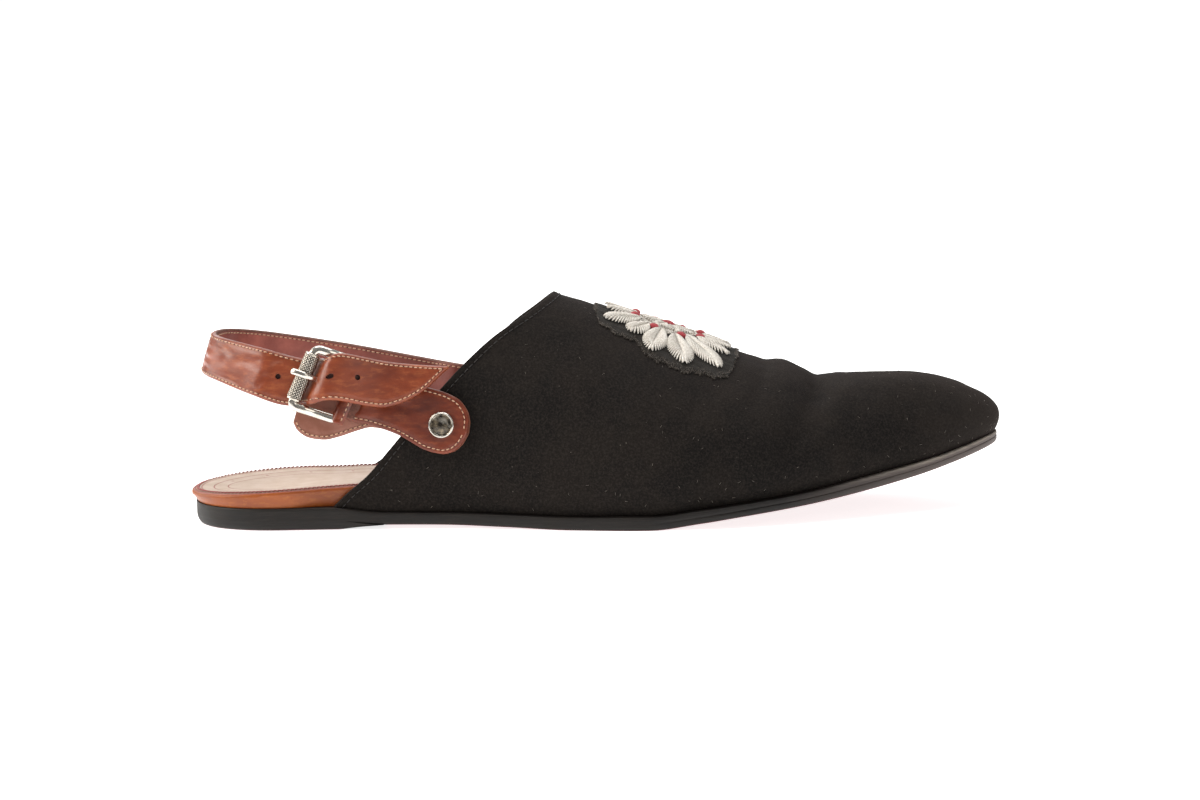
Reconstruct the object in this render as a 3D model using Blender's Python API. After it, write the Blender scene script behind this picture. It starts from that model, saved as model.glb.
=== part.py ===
"""Right slingback mule: thin flat sole, pointed suede vamp and a buckled heel strap.

Run it with: blender --background --python part.py
Metres, +Z up. +X runs from heel to toe, -Y is the outer side, where the buckle is.
The origin is on the floor under the middle of the heel.

Tables are in millimetres. Their first column is usually "along", the distance from the
back of the heel, and every table is read smoothly between its rows.
"""

from math import cos, pi, radians, sin

import bmesh
import bpy
import numpy as np
from mathutils import Vector

MM = 0.001

# Driving sizes.
LENGTH = 300.4 * MM  # of the sole
HEEL_MIDDLE = 30 * MM  # from the back of the heel to the origin
GAP = 0.3 * MM  # between pieces that touch
WALL = 2.0 * MM  # suede and its lining
HEEL_LENGTH = 57 * MM
HEEL_SKIVE = 17 * MM  # the lift thins out to nothing over this length in front
HEEL_ROUND = 33 * MM  # length of the rounded back of the sole
TOE_START = 268 * MM  # where the toe begins to round
ROUNDNESS = 2.15  # power of the rounded ends in plan, 2 being an ellipse
UPPER_TIP = 301.4 * MM  # the toe leans a little over the sole
SOLE_BACK = 1.6 * MM  # the footbed's rim stands this far behind the sole

STRAP_WIDTH = 18.0 * MM  # at its inner end
STRAP_THICK = 2.4 * MM
BACKING_THICK = 2.0 * MM
CHAPE_THICK = 1.2 * MM
SLACK = 0.5 * MM  # between the foot's side and the leather beside it

BUCKLE_ALONG = 55.4 * MM  # the middle of the buckle
BUCKLE_HIGH = 53.1 * MM
BUCKLE_SPAN = 17.5 * MM  # from the roller's axis to the bar's
BUCKLE_TURN = radians(24.6)  # how far the roller and the bar lean towards the toe
RAIL_TURN = radians(19)  # how far the rails fall towards the toe
RAIL_RADIUS = 1.5 * MM
BAR_RADIUS = 1.2 * MM
RAIL_ACROSS = 11.3 * MM  # from the buckle's middle to a rail's middle
BAR_CORNER = 1.9 * MM
AXLE_CORNER = 1.5 * MM
AXLE_RADIUS = 1.0 * MM
ROLLER_RADIUS = 2.7 * MM
ROLLER_LENGTH = 18.4 * MM
ROLLER_OUT = 9.0 * MM  # how far the roller's axis stands off the foot
BAR_OUT = 6.2 * MM
PRONG_RADIUS = 0.9 * MM
PRONG_SLOT = 3.4 * MM  # width of the hole cut in the strap for the prong
PRONG_HOLE = 6.4 * MM  # and its length
CHAPE_SLOT = (8.8 * MM, 3.9 * MM)  # length and width of the opening at the bar
CUT_DEPTH = 9 * MM  # more than the leather is thick where the prong goes through

RIVET_ALONG = 97.2 * MM  # the rivet that holds the buckle tab
RIVET_HIGH = 38.2 * MM
TAB_TURN = radians(17.6)  # how far the tab rises from the rivet towards the buckle
INNER_RIVET_ALONG = 102 * MM
INNER_RIVET_HIGH = 43.2 * MM
STRAP_END = 111 * MM  # the rounded end of the strap on the inner side
STRAP_END_SLOPE = 0.19  # how much the strap falls over its inner end
STRAP_END_ROUND = 8 * MM

SOLE_SOFT = 0.9 * MM  # how far the sole's lower edge is rounded in
LIFT_TAPER = 1.0 * MM  # how much the lift draws in towards the floor
INSOLE_TOE = 292.8 * MM  # the footbed's front end
RIM_SOFT = 0.8 * MM  # rounding of the footbed's rim

COLUMNS_ALONG = 40  # steps along the sole
UPPER_STEPS = 24  # steps from the collar to the toe
LEVELS_UNDER = 3  # levels of the upper below its widest line
LEVELS_OVER = 10  # and above it


class Table:
    """Rows of millimetres with named columns, read smoothly along the first column.

    The columns named in plain hold degrees or pure numbers and aren't scaled."""

    def __init__(self, names, rows, plain=()):
        values = np.array(rows, float).T
        names = names.split()
        self.at = values[0] * MM
        self.columns = {
            name: column * (1 if name in plain else MM) for name, column in zip(names, values)
        }

    def __call__(self, name, at):
        """The column's value at a place, by a cubic that adds no bump between rows."""
        knots, values = self.at, self.columns[name]
        at = float(np.clip(at, knots[0], knots[-1]))
        rise = np.diff(values) / np.diff(knots)
        product = rise[:-1] * rise[1:]
        total = rise[:-1] + rise[1:]
        inner = np.where(product > 0, 2 * product / np.where(product > 0, total, 1), 0)
        slopes = np.concatenate([rise[:1], inner, rise[-1:]])
        i = min(int(np.searchsorted(knots, at, side="right")) - 1, len(knots) - 2)
        step = knots[i + 1] - knots[i]
        t = (at - knots[i]) / step
        start, end = values[i], values[i + 1]
        return float(
            start * (1 + 2 * t) * (1 - t) ** 2
            + end * t * t * (3 - 2 * t)
            + step * (slopes[i] * t * (1 - t) ** 2 - slopes[i + 1] * t * t * (1 - t))
        )


# The sole: half widths of its outline, height of its underside and its thickness.
SOLE = Table(
    "along lateral medial bottom thick",
    (
        (0, 31.5, 31.5, 3.7, 4.6),
        (30, 32.0, 31.5, 3.7, 4.6),
        (54, 32.5, 30.5, 3.6, 4.6),
        (75, 33.0, 28.5, 1.6, 4.6),
        (95, 35.0, 28.0, 1.5, 4.4),
        (120, 40.0, 32.0, 0.8, 4.5),
        (144, 45.5, 39.5, 0, 4.6),
        (172, 50.0, 47.0, 0, 4.9),
        (190, 50.0, 49.0, 2.1, 4.7),
        (205, 48.0, 48.5, 4.0, 4.4),
        (229, 40.5, 43.0, 6.8, 4.4),
        (250, 31.0, 36.0, 10.0, 4.8),
        (268, 23.0, 29.5, 13.6, 4.5),
        (285, 17.0, 25.0, 18.1, 4.1),
        (301, 12.0, 22.0, 22.9, 4.0),
    ),
)

# The footbed: height of its rim and how far its side lies inside the sole's.
FOOTBED = Table(
    "along rim inset",
    (
        (0, 12.4, -0.4),
        (14, 13.2, -0.2),
        (38, 14.4, 0.4),
        (54, 15.0, 3.6),
        (66, 15.5, 4.2),
        (92, 14.4, 5.4),
        (130, 11.0, 6.4),
        (170, 9.6, 7.0),
        (205, 12.6, 7.0),
        (250, 18.0, 7.2),
        (301, 29.5, 7.4),
    ),
)

# The last: half widths at its widest line, how far it turns in under that line, the line's
# height above the sole, the height of the ridge and the ridge's place across.
LAST = Table(
    "along lateral medial under widest top ridge",
    (
        (0, 31.0, 30.5, 1.2, 12.0, 104, 0),
        (40, 31.5, 30.5, 1.4, 14.0, 104, 0),
        (60, 32.2, 29.5, 1.6, 15.0, 101.5, 0.5),
        (80, 33.2, 28.5, 2.0, 16.0, 98, 1.2),
        (100, 35.4, 29.0, 2.5, 16.5, 93.5, 2.5),
        (120, 39.6, 32.0, 3.0, 16.5, 87.8, 4),
        (137, 43.4, 36.8, 3.3, 15.5, 81.7, 5.5),
        (150, 46.2, 41.2, 3.5, 14.5, 77.1, 6.6),
        (176, 49.6, 47.2, 3.9, 12.5, 67.8, 8.2),
        (204, 47.4, 47.9, 4.0, 10.5, 57.8, 8.4),
        (213, 45.2, 46.3, 4.0, 10.2, 54.9, 8.2),
        (221, 42.8, 44.4, 3.9, 9.9, 54.0, 8.0),
        (229, 39.8, 42.2, 3.8, 9.6, 50.6, 7.8),
        (236, 36.8, 40.0, 3.7, 9.2, 48.2, 7.5),
        (247, 31.7, 36.3, 3.6, 8.5, 48.7, 7.0),
        (261, 25.2, 30.9, 3.2, 7.0, 49.0, 6.2),
        (301, 11.0, 21.0, 2.4, 5.2, 45.6, 5),
    ),
)

# The collar, by height: how far along it lies on each side.
COLLAR = Table(
    "height lateral medial",
    (
        (7.5, 55.5, 55.5),
        (12.0, 60.2, 62.0),
        (19.8, 69.4, 73.0),
        (28.7, 77.2, 81.8),
        (50.7, 96.6, 102.4),
        (61.0, 106.9, 112.4),
        (69.0, 116.4, 121.0),
        (76.3, 128.4, 130.8),
        (82.0, 137.6, 137.6),
    ),
)

# How full the sections are: 2 is an ellipse, less is more peaked.
FULLNESS = Table(
    "along power", ((0, 2.05), (120, 1.95), (180, 2.05), (240, 2.2), (301, 2.2)), ("power",)
)
TURN_UNDER = radians(70)  # how much of a quarter circle the upper turns in under

LATERAL, MEDIAL = -1, 1


def sole_top(along):
    return SOLE("bottom", along) + SOLE("thick", along)


def end_round(share):
    """Width left at a share of the way through a rounded end."""
    share = min(max(share, 0), 1)
    return (1 - share**ROUNDNESS) ** (1 / ROUNDNESS)


def world(along, across, height):
    return Vector((along - HEEL_MIDDLE, across, height))


# The last's surface.


def last_shape(level, along):
    """Share of the half width, inset and height at a level: -1 at the sole, 0 widest, 1 ridge."""
    foot = sole_top(along) + GAP
    widest = foot + LAST("widest", along)
    if level < 0:
        turn = -level * TURN_UNDER
        inset = LAST("under", along) * (1 - cos(turn)) / (1 - cos(TURN_UNDER))
        return 1, inset, widest - (widest - foot) * sin(turn) / sin(TURN_UNDER)
    power = 2 / FULLNESS("power", along)
    turn = level * pi / 2
    rise = (LAST("top", along) - widest) * sin(turn) ** power
    return max(cos(turn), 0) ** power, 0, widest + rise


def last_tip(level):
    """How far along a level reaches at the toe."""
    share, inset, _ = last_shape(level, UPPER_TIP)
    return TOE_START + (UPPER_TIP - TOE_START) * share - inset


def last_point(side, level, along):
    """A point of the last's outside."""
    share, inset, height = last_shape(level, along)
    lateral, medial = LAST("lateral", along), LAST("medial", along)
    middle, half = (medial - lateral) / 2, (medial + lateral) / 2
    room = last_tip(level) - TOE_START
    closing = end_round((along - TOE_START) / room) if room > MM / 10 else 1
    ridge = (LAST("ridge", along) - middle) * sin(max(level, 0) * pi / 2) ** 2
    return world(along, middle + ridge + side * (half - inset) * share * closing, height)


def collar_start(side, level):
    """Where a level of the last meets the collar, found by halving."""
    name = "lateral" if side == LATERAL else "medial"
    low, high = 40 * MM, 150 * MM
    for _ in range(40):
        middle = (low + high) / 2
        if middle < COLLAR(name, last_shape(level, middle)[2]):
            low = middle
        else:
            high = middle
    return high


def side_point(along, height, out, side=LATERAL):
    """A point at a height beside the last, standing off its surface by out."""
    points = []
    for step in (0, MM, -MM):
        low, high = 0.0, 1.0
        for _ in range(30):
            level = (low + high) / 2
            if last_shape(level, along)[2] < height + step:
                low = level
            else:
                high = level
        points.append(last_point(side, low, along))
    up = (points[1] - points[2]).normalized()
    forward = (last_point(side, low, along + MM) - last_point(side, low, along - MM)).normalized()
    normal = forward.cross(up).normalized() * -side
    return points[0] + normal * out, up


# Making meshes.


def colour(hex_code):
    """Linear colour of an sRGB hex code."""
    parts = [int(hex_code[i : i + 2], 16) / 255 for i in (1, 3, 5)]
    return [p / 12.92 if p <= 0.04045 else ((p + 0.055) / 1.055) ** 2.4 for p in parts] + [1]


def material(name, hex_code, roughness, metallic=0):
    made = bpy.data.materials.new(name)
    made.use_nodes = True
    shader = made.node_tree.nodes["Principled BSDF"]
    shader.inputs["Base Color"].default_value = colour(hex_code)
    shader.inputs["Roughness"].default_value = roughness
    shader.inputs["Metallic"].default_value = metallic
    return made


def make_object(name, mesh, finish, sharp=40):
    """Tidies a mesh, turns its faces outwards and places it under the shoe's empty."""
    bmesh.ops.remove_doubles(mesh, verts=mesh.verts, dist=1e-6)
    bmesh.ops.dissolve_degenerate(mesh, edges=mesh.edges, dist=1e-6)
    bmesh.ops.recalc_face_normals(mesh, faces=mesh.faces)
    data = bpy.data.meshes.new(name)
    mesh.to_mesh(data)
    mesh.free()
    data.materials.append(finish)
    data.shade_smooth()
    data.set_sharp_from_angle(angle=radians(sharp))
    made = bpy.data.objects.new(name, data)
    bpy.context.scene.collection.objects.link(made)
    made.parent = bpy.data.objects["mule"]
    return made


def skin(mesh, rings, closed=True, capped=True):
    """Faces between rings of points, with the first and last ring filled where asked."""
    rows = [[mesh.verts.new(point) for point in ring] for ring in rings]
    count = len(rows[0])
    for ring, following in zip(rows, rows[1:]):
        for i in range(count if closed else count - 1):
            j = (i + 1) % count
            mesh.faces.new((ring[i], ring[j], following[j], following[i]))
    if capped:
        mesh.faces.new(rows[0][::-1])
        mesh.faces.new(rows[-1])
    return rows


def slab(name, loops, finish):
    """A flat piece from loops of side pairs, bottom to top; its faces run across it."""
    mesh = bmesh.new()
    rings = [[pair[0] for pair in loop] + [pair[1] for pair in reversed(loop)] for loop in loops]
    rows = skin(mesh, rings, capped=False)
    for row in (rows[0], rows[-1]):
        for i in range(len(row) // 2 - 1):
            mesh.faces.new((row[i], row[i + 1], row[-2 - i], row[-1 - i]))
    return make_object(name, mesh, finish)


def sole_loop(height, inset=0, back=SOLE_BACK, tip=LENGTH, end=None, extra=None):
    """Side pairs of the sole's outline drawn in by inset, each at height(along)."""
    back, tip = back + inset, tip - inset
    last = tip if end is None else end
    loop = []
    for step in range(COLUMNS_ALONG + 1):
        if end is None:
            along = back + (last - back) * (1 - cos(pi * step / COLUMNS_ALONG)) / 2
        else:
            along = back + (last - back) * (1 - cos(pi / 2 * step / COLUMNS_ALONG))
        shift = inset + (extra(along) if extra else 0)
        lateral = SOLE("lateral", along) - shift
        medial = SOLE("medial", along) - shift
        middle, half = (medial - lateral) / 2, (medial + lateral) / 2
        closing = end_round((back + HEEL_ROUND - along) / HEEL_ROUND)
        closing *= end_round((along - TOE_START) / (tip - TOE_START))
        loop.append([world(along, middle + s * half * closing, height(along)) for s in (-1, 1)])
    return loop


def band(name, stations, thick, finish, round_edge=0.35):
    """A strip of leather through stations (middle, up, low, high): low and high are its edges."""
    mesh = bmesh.new()
    rings = []
    middles = [station[0] for station in stations]
    for i, (middle, up, low, high) in enumerate(stations):
        run = (middles[min(i + 1, len(middles) - 1)] - middles[max(i - 1, 0)]).normalized()
        out = run.cross(up).normalized()
        half = thick / 2
        soft = min(round_edge * thick, (high - low) / 4)
        corners = (
            (low, -half + soft),
            (low + soft, -half),
            (high - soft, -half),
            (high, -half + soft),
            (high, half - soft),
            (high - soft, half),
            (low + soft, half),
            (low, half - soft),
        )
        rings.append([middle + up * across + out * depth for across, depth in corners])
    skin(mesh, rings)
    return make_object(name, mesh, finish)


def rod(name, path, radii, finish, sides=12, closed=False, up=Vector((0, 1, 0))):
    """A round bar along a path, whose radius follows the list radii."""
    mesh = bmesh.new()
    count = len(path)
    rings = []
    for i, point in enumerate(path):
        before = path[(i - 1) % count] if closed or i else path[0]
        after = path[(i + 1) % count] if closed or i < count - 1 else path[-1]
        run = (after - before).normalized()
        side = run.cross(up).normalized()
        top = side.cross(run)
        turns = [2 * pi * k / sides for k in range(sides)]
        rings.append([point + (side * cos(t) + top * sin(t)) * radii[i] for t in turns])
    if closed:
        rings.append(rings[0])
    skin(mesh, rings, capped=not closed)
    return make_object(name, mesh, finish)


def cut(target, cutter):
    """Takes a hidden cutter's shape out of a piece."""
    cutter.hide_render = True
    cutter.display_type = "WIRE"
    boolean = target.modifiers.new("cut", "BOOLEAN")
    boolean.operation = "DIFFERENCE"
    boolean.object = cutter


def box(name, middle, axes, sizes, finish):
    """A block with its own axes, used as a cutter."""
    mesh = bmesh.new()
    rings = []
    for end in (-1, 1):
        corners = ((-1, -1), (1, -1), (1, 1), (-1, 1))
        rings.append(
            [
                middle
                + axes[0] * sizes[0] / 2 * x
                + axes[1] * sizes[1] / 2 * y
                + axes[2] * sizes[2] / 2 * end
                for x, y in corners
            ]
        )
    skin(mesh, rings)
    return make_object(name, mesh, finish)


# The pieces.


def build_outsole(finish):
    """The full-length sole: a softened lower edge and a slightly drawn-in upper edge."""

    def at(share, drop=0):
        return lambda along: SOLE("bottom", along) + SOLE("thick", along) * share - drop

    loops = [
        sole_loop(at(0), SOLE_SOFT),
        sole_loop(at(0.22), 0.1 * MM),
        sole_loop(at(0.75)),
        sole_loop(at(1), 0.35 * MM),
    ]
    return slab("outsole", loops, finish)


def build_heel_lift(finish):
    """The thin D-shaped piece under the heel, tapering a little towards the floor."""

    def top(along):
        return SOLE("bottom", along) - GAP

    loops = [
        sole_loop(lambda along: 0, SOLE_SOFT + LIFT_TAPER, end=HEEL_LENGTH),
        sole_loop(lambda along: 0.5 * MM, SOLE_SOFT + 0.3 * LIFT_TAPER, end=HEEL_LENGTH + HEEL_SKIVE * 0.3),
        sole_loop(top, SOLE_SOFT, end=HEEL_LENGTH + HEEL_SKIVE),
    ]
    return slab("heel_lift", loops, finish)


def build_insole(finish):
    """The footbed: its side flares out to the rim at the back and its top is cupped."""
    def extra(along):
        return FOOTBED("inset", along)

    def foot(along):
        return sole_top(along) + GAP

    def rim(drop):
        return lambda along: FOOTBED("rim", along) - drop

    def loop(height, inset, back):
        return sole_loop(height, inset, back=back, tip=INSOLE_TOE, extra=extra)

    loops = [
        loop(foot, RIM_SOFT, 1.3 * MM),
        loop(lambda along: (foot(along) + FOOTBED("rim", along)) / 2, 0.3 * MM, 0.5 * MM),
        loop(rim(RIM_SOFT), 0, 0),
        loop(rim(0), RIM_SOFT, 0),
        loop(rim(0.4 * MM), 3.5 * MM, 0),
        loop(rim(1.2 * MM), 12 * MM, 0),
    ]
    return slab("insole", loops, finish)


def upper_levels():
    """Levels from the sole to the ridge."""
    under = [-1 + i / LEVELS_UNDER for i in range(LEVELS_UNDER)]
    return under + [i / LEVELS_OVER for i in range(LEVELS_OVER + 1)]


def build_upper(finish):
    """The suede sheet from collar to toe and back on the other side, given its wall."""
    rings = []
    for level in upper_levels():
        tip = last_tip(level)
        ring = []
        for side in (LATERAL, MEDIAL):
            start = collar_start(side if level < 1 else LATERAL, level)
            steps = range(UPPER_STEPS + 1) if side == LATERAL else range(UPPER_STEPS - 1, -1, -1)
            for step in steps:
                along = start + (tip - start) * sin(pi / 2 * step / UPPER_STEPS)
                ring.append(last_point(side, level, along))
        rings.append(ring)
    mesh = bmesh.new()
    skin(mesh, rings, closed=False, capped=False)
    upper = make_object("upper", mesh, finish, sharp=60)
    wall = upper.modifiers.new("wall", "SOLIDIFY")
    wall.thickness = WALL
    wall.offset = -1
    wall.use_even_offset = True
    return upper


# The strap's middle from its inner anchor round the heel: place, height, inward lean and
# half its width.
STRAP_BACK = Table(
    "run along across height lean half",
    (
        (0, 88, 33.4, 45.8, 11, 9.0),
        (15, 73, 33.6, 48.9, 10, 9.0),
        (30, 58, 32.8, 52.1, 10, 9.0),
        (45, 43, 30.8, 55.2, 10, 8.9),
        (60, 28, 26.6, 58.5, 12, 8.7),
        (75, 15.6, 18.4, 61.4, 15, 8.3),
        (85, 10.3, 9.6, 62.8, 17, 7.9),
        (95, 8.6, 0, 63.2, 18, 7.8),
        (105, 10.0, -9.6, 63.1, 17, 7.8),
        (115, 14.7, -18.6, 62.4, 15, 7.9),
        (130, 25.4, -27.6, 59.9, 12, 8.6),
    ),
    ("lean",),
)

# Its outer run under the roller, over the bar and on to the tip: place, height, distance
# off the foot, tilt and its upper edge.
STRAP_FRONT = Table(
    "run along height out tilt high",
    (
        (0, 32.0, 57.7, 4.0, 13, 8.9),
        (8, 39.7, 55.3, 4.0, 18, 9.0),
        (15, 46.8, 54.2, 3.9, 24, 8.8),
        (17, 48.8, 54.4, 4.1, 25, 9.1),
        (18.8, 50.3, 54.6, 4.8, 25, 9.1),
        (20.5, 51.5, 54.6, 6.1, 25, 8.8),
        (22.4, 52.3, 54.3, 8.1, 25, 8.8),
        (24.4, 53.0, 53.9, 10.5, 24, 8.8),
        (26.6, 54.6, 54.6, 12.2, 20, 8.9),
        (29.4, 57.3, 55.4, 12.9, 14, 8.8),
        (33, 61.0, 55.2, 12.4, 10, 8.7),
        (40, 67.8, 54.2, 10.6, 8, 8.3),
        (49, 76.6, 52.6, 8.5, 8, 8.1),
        (61, 88.4, 51.3, 7.0, 7, 8.1),
        (72.2, 99.6, 50.3, 6.3, 6, 8.3),
    ),
    ("tilt",),
)
STRAP_FRONT_LENGTH = 72.2 * MM
STRAP_SOFTEN = 2.2 * MM  # the strap's bends are evened out over this reach

# The lower edge of the outer run, by the distance back from the tip.
STRAP_TIP = Table(
    "before low",
    (
        (0, 7.6),
        (1, 6.6),
        (3.3, 4.1),
        (8.2, -1.3),
        (12.6, -4.5),
        (16.6, -6.6),
        (23.5, -8.8),
        (31, -9.1),
        (36, -8.8),
        (40.7, -8.6),
        (46, -9.0),
        (50, -9.3),
        (60, -9.3),
        (72.2, -9.0),
    ),
)

# Outlines of the buckle tab's layers, by the distance from the rivet towards the buckle.
BACKING = Table(
    "run low high",
    (
        (-9.9, -1.0, 1.0),
        (-9.1, -4.4, 4.8),
        (-6.8, -7.9, 8.2),
        (-2.6, -10.2, 10.8),
        (3, -10.6, 11.6),
        (9, -9.4, 11.4),
        (15, -8.2, 10.2),
        (20, -7.9, 9.2),
        (25, -8.6, 9.0),
        (29.5, -11.2, 9.0),
        (35.2, -15.2, 8.0),
        (40.5, -18.0, 4.6),
        (46, -18.8, -0.2),
        (50.4, -17.6, -5.0),
        (52.8, -15.2, -9.0),
    ),
)

CHAPE = Table(
    "run low high",
    (
        (-9.9, -1.0, 1.0),
        (-9.1, -4.4, 4.8),
        (-6.8, -7.9, 8.2),
        (-2.6, -10.2, 10.8),
        (3, -10.6, 11.6),
        (9, -9.4, 11.4),
        (15, -8.2, 10.2),
        (20, -7.9, 9.0),
        (26, -7.8, 7.6),
        (32, -8.4, 6.9),
        (60, -8.3, 8.3),
    ),
)


def strap_end_stations():
    """Stations over the rounded end that the inner rivet holds."""
    stations = []
    for before in (0.15, 1, 2.5, 5, 8, 14):
        share = min(before * MM / STRAP_END_ROUND, 1)
        width = STRAP_WIDTH / 2 * (1 - (1 - share) ** 2) ** 0.5
        along = STRAP_END - before * MM
        height = INNER_RIVET_HIGH - (along - INNER_RIVET_ALONG) * STRAP_END_SLOPE
        point, up = side_point(along, height, SLACK + STRAP_THICK / 2, MEDIAL)
        up = (up + Vector((STRAP_END_SLOPE, 0, 0))).normalized()
        stations.append((point, up, -width, width))
    return stations


def strap_back_stations():
    """Stations from the inner side round the heel."""

    def place(at):
        return world(*(STRAP_BACK(name, at) for name in ("along", "across", "height")))

    stations = []
    for run in range(0, 131, 5):
        at = run * MM
        lean, half = radians(STRAP_BACK("lean", at)), STRAP_BACK("half", at)
        run_on = (place(at + MM) - place(at - MM)).normalized()
        inward = Vector((0, 0, 1)).cross(run_on).normalized()
        up = Vector((0, 0, 1)) * cos(lean) + inward * sin(lean)
        stations.append((place(at), (up - run_on * up.dot(run_on)).normalized(), -half, half))
    return stations


def strap_front_stations():
    """Stations along the outer side, through the buckle and to the tip."""

    def place(at):
        return side_point(*(STRAP_FRONT(name, at) for name in ("along", "height", "out")))

    stations = []
    through = np.arange(14, 28, 0.9)
    beyond = np.linspace(28.5, STRAP_FRONT_LENGTH / MM, 21)
    for run in (0, 4, 8, 11.5, *through, *beyond):
        at = run * MM
        reach = min(STRAP_SOFTEN, at, STRAP_FRONT_LENGTH - at)
        near = [place(at + reach * share)[0] for share in (-1, -0.5, 0, 0.5, 1)]
        tilt = radians(STRAP_FRONT("tilt", at))
        up = place(at)[1] * cos(tilt) + Vector((1, 0, 0)) * sin(tilt)
        low = STRAP_TIP("low", STRAP_FRONT_LENGTH - at)
        high = STRAP_FRONT("high", at)
        stations.append((sum(near, Vector()) / len(near), up, low, high))
    return stations


def build_heel_strap(finish):
    """One strap from the inner rivet round the heel and through the buckle to its tip."""
    stations = strap_end_stations() + strap_back_stations() + strap_front_stations()
    strap = band("heel_strap", stations, STRAP_THICK, finish)
    place = in_buckle(-3.4 * MM, PRONG("v", 12 * MM), 9.4 * MM)
    sizes = (PRONG_HOLE, PRONG_SLOT, CUT_DEPTH)
    cut(strap, box("strap_hole", place, buckle_axes()[1:], sizes, finish))


def tab_station(outline, run, out):
    """A station of the buckle tab at a run from the rivet towards the buckle."""
    along = RIVET_ALONG - cos(TAB_TURN) * run
    height = RIVET_HIGH + sin(TAB_TURN) * run
    point, up = side_point(along, height, out)
    up = up * cos(TAB_TURN) + Vector((1, 0, 0)) * sin(TAB_TURN)
    return point, up, outline("low", run), outline("high", run)


def build_backing(finish):
    """The under layer of the tab, which runs on as a lobe under the buckle."""
    stations = []
    ends = BACKING.at[0] / MM, BACKING.at[-1] / MM
    for run in (ends[0] + 0.05, -9.5, -8, -6, -3, *range(0, 45, 4), 47, 49.5, ends[1]):
        stations.append(tab_station(BACKING, run * MM, SLACK + BACKING_THICK / 2))
    band("tab_backing", stations, BACKING_THICK, finish)


def buckle_axes():
    """Origin, length, width and outward axes of the buckle."""
    origin, up = side_point(BUCKLE_ALONG, BUCKLE_HIGH, 0)
    ahead, _ = side_point(BUCKLE_ALONG + MM, BUCKLE_HIGH, 0)
    forward = (ahead - origin).normalized()
    up = (up - forward * up.dot(forward)).normalized()
    length = forward * cos(RAIL_TURN) - up * sin(RAIL_TURN)
    width = forward * sin(BUCKLE_TURN) + up * cos(BUCKLE_TURN)
    return origin, length, width, forward.cross(up)


def in_buckle(u, v, n):
    """A point by its distances along, across and out from the buckle's middle."""
    origin, length, width, outward = buckle_axes()
    return origin + length * u + width * v + outward * n


# Height of the rails off the foot along the buckle, and the prong's line.
RAILS = Table("u out", ((-8.8, 9.0), (-4, 8.4), (0, 7.0), (4.5, 6.3), (8.8, 6.2)))
PRONG = Table(
    "run u v out",
    (
        (0, 8.7, 2.2, 8.6),
        (5, 3.7, 1.5, 8.5),
        (9, -0.3, 0.9, 8.6),
        (12, -3.2, 0.6, 9.8),
        (15, -5.8, 0.6, 12.0),
        (18, -8.4, 0.7, 13.2),
        (20.5, -10.9, 0.8, 13.0),
        (23.2, -13.4, 0.8, 11.9),
    ),
)
PRONG_LENGTH = 23.2 * MM
CHAPE_SHIFT = -1.4 * MM  # the tab's line meets the bar this far above its middle


def build_buckle_frame(finish):
    """One ring: bar, two bowed rails and the thinner axle inside the roller."""
    half = BUCKLE_SPAN / 2
    path, radii = [], []
    for index, (end, side) in enumerate(((1, -1), (1, 1), (-1, 1), (-1, -1))):
        corner = BAR_CORNER if end > 0 else AXLE_CORNER
        centre_u, centre_v = end * (half - corner), side * (RAIL_ACROSS - corner)
        for step in range(6):
            turn = (index - 1 + step / 5) * pi / 2
            u = centre_u + corner * cos(turn)
            path.append(in_buckle(u, centre_v + corner * sin(turn), RAILS("out", u)))
            radii.append(BAR_RADIUS if u > half - MM / 10 else RAIL_RADIUS)
        if end * side > 0:
            for share in (0.3, 0.1, -0.1, -0.3):
                u = share * BUCKLE_SPAN * end
                path.append(in_buckle(u, side * RAIL_ACROSS, RAILS("out", u)))
                radii.append(RAIL_RADIUS)
        if end < 0 < side:
            neck = ROLLER_LENGTH / 2 + GAP
            shoulder = neck + MM / 10
            for across in (shoulder, neck, neck / 3, -neck / 3, -neck, -shoulder):
                path.append(in_buckle(-half, across, ROLLER_OUT))
                radii.append(RAIL_RADIUS if abs(across) > neck else AXLE_RADIUS)
    return rod("buckle_frame", path, radii, finish, closed=True, up=buckle_axes()[3])


def build_buckle_roller(finish):
    """A tube round the axle with softened ends."""
    mesh = bmesh.new()
    _, _, width, outward = buckle_axes()
    ahead = outward.cross(width)
    middle = in_buckle(-BUCKLE_SPAN / 2, 0, ROLLER_OUT)
    inner = AXLE_RADIUS + GAP
    half = ROLLER_LENGTH / 2
    soft = 0.5 * MM
    profile = (
        (-half, inner),
        (-half, ROLLER_RADIUS - soft),
        (-half + soft, ROLLER_RADIUS),
        (half - soft, ROLLER_RADIUS),
        (half, ROLLER_RADIUS - soft),
        (half, inner),
        (-half, inner),
    )
    sides = 24
    turns = [2 * pi * k / sides for k in range(sides)]
    rings = [
        [middle + width * v + (ahead * cos(t) + outward * sin(t)) * r for t in turns]
        for v, r in profile
    ]
    skin(mesh, rings, capped=False)
    return make_object("buckle_roller", mesh, finish)


def build_buckle_prong(finish):
    """From under the bar round its front, then through the strap and over the roller."""
    reach = BAR_RADIUS + GAP + PRONG_RADIUS
    path = []
    for step in range(6):
        turn = -pi / 2 + pi * step / 6
        out = BAR_OUT + reach * sin(turn)
        path.append(in_buckle(BUCKLE_SPAN / 2 + reach * cos(turn), PRONG("v", 0), out))
    for run in np.linspace(0, PRONG_LENGTH, 13):
        path.append(in_buckle(PRONG("u", run), PRONG("v", run), PRONG("out", run)))
    radii = [PRONG_RADIUS] * (len(path) - 1) + [PRONG_RADIUS * 0.7]
    rod("buckle_prong", path, radii, finish, sides=10, up=buckle_axes()[2])


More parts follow.
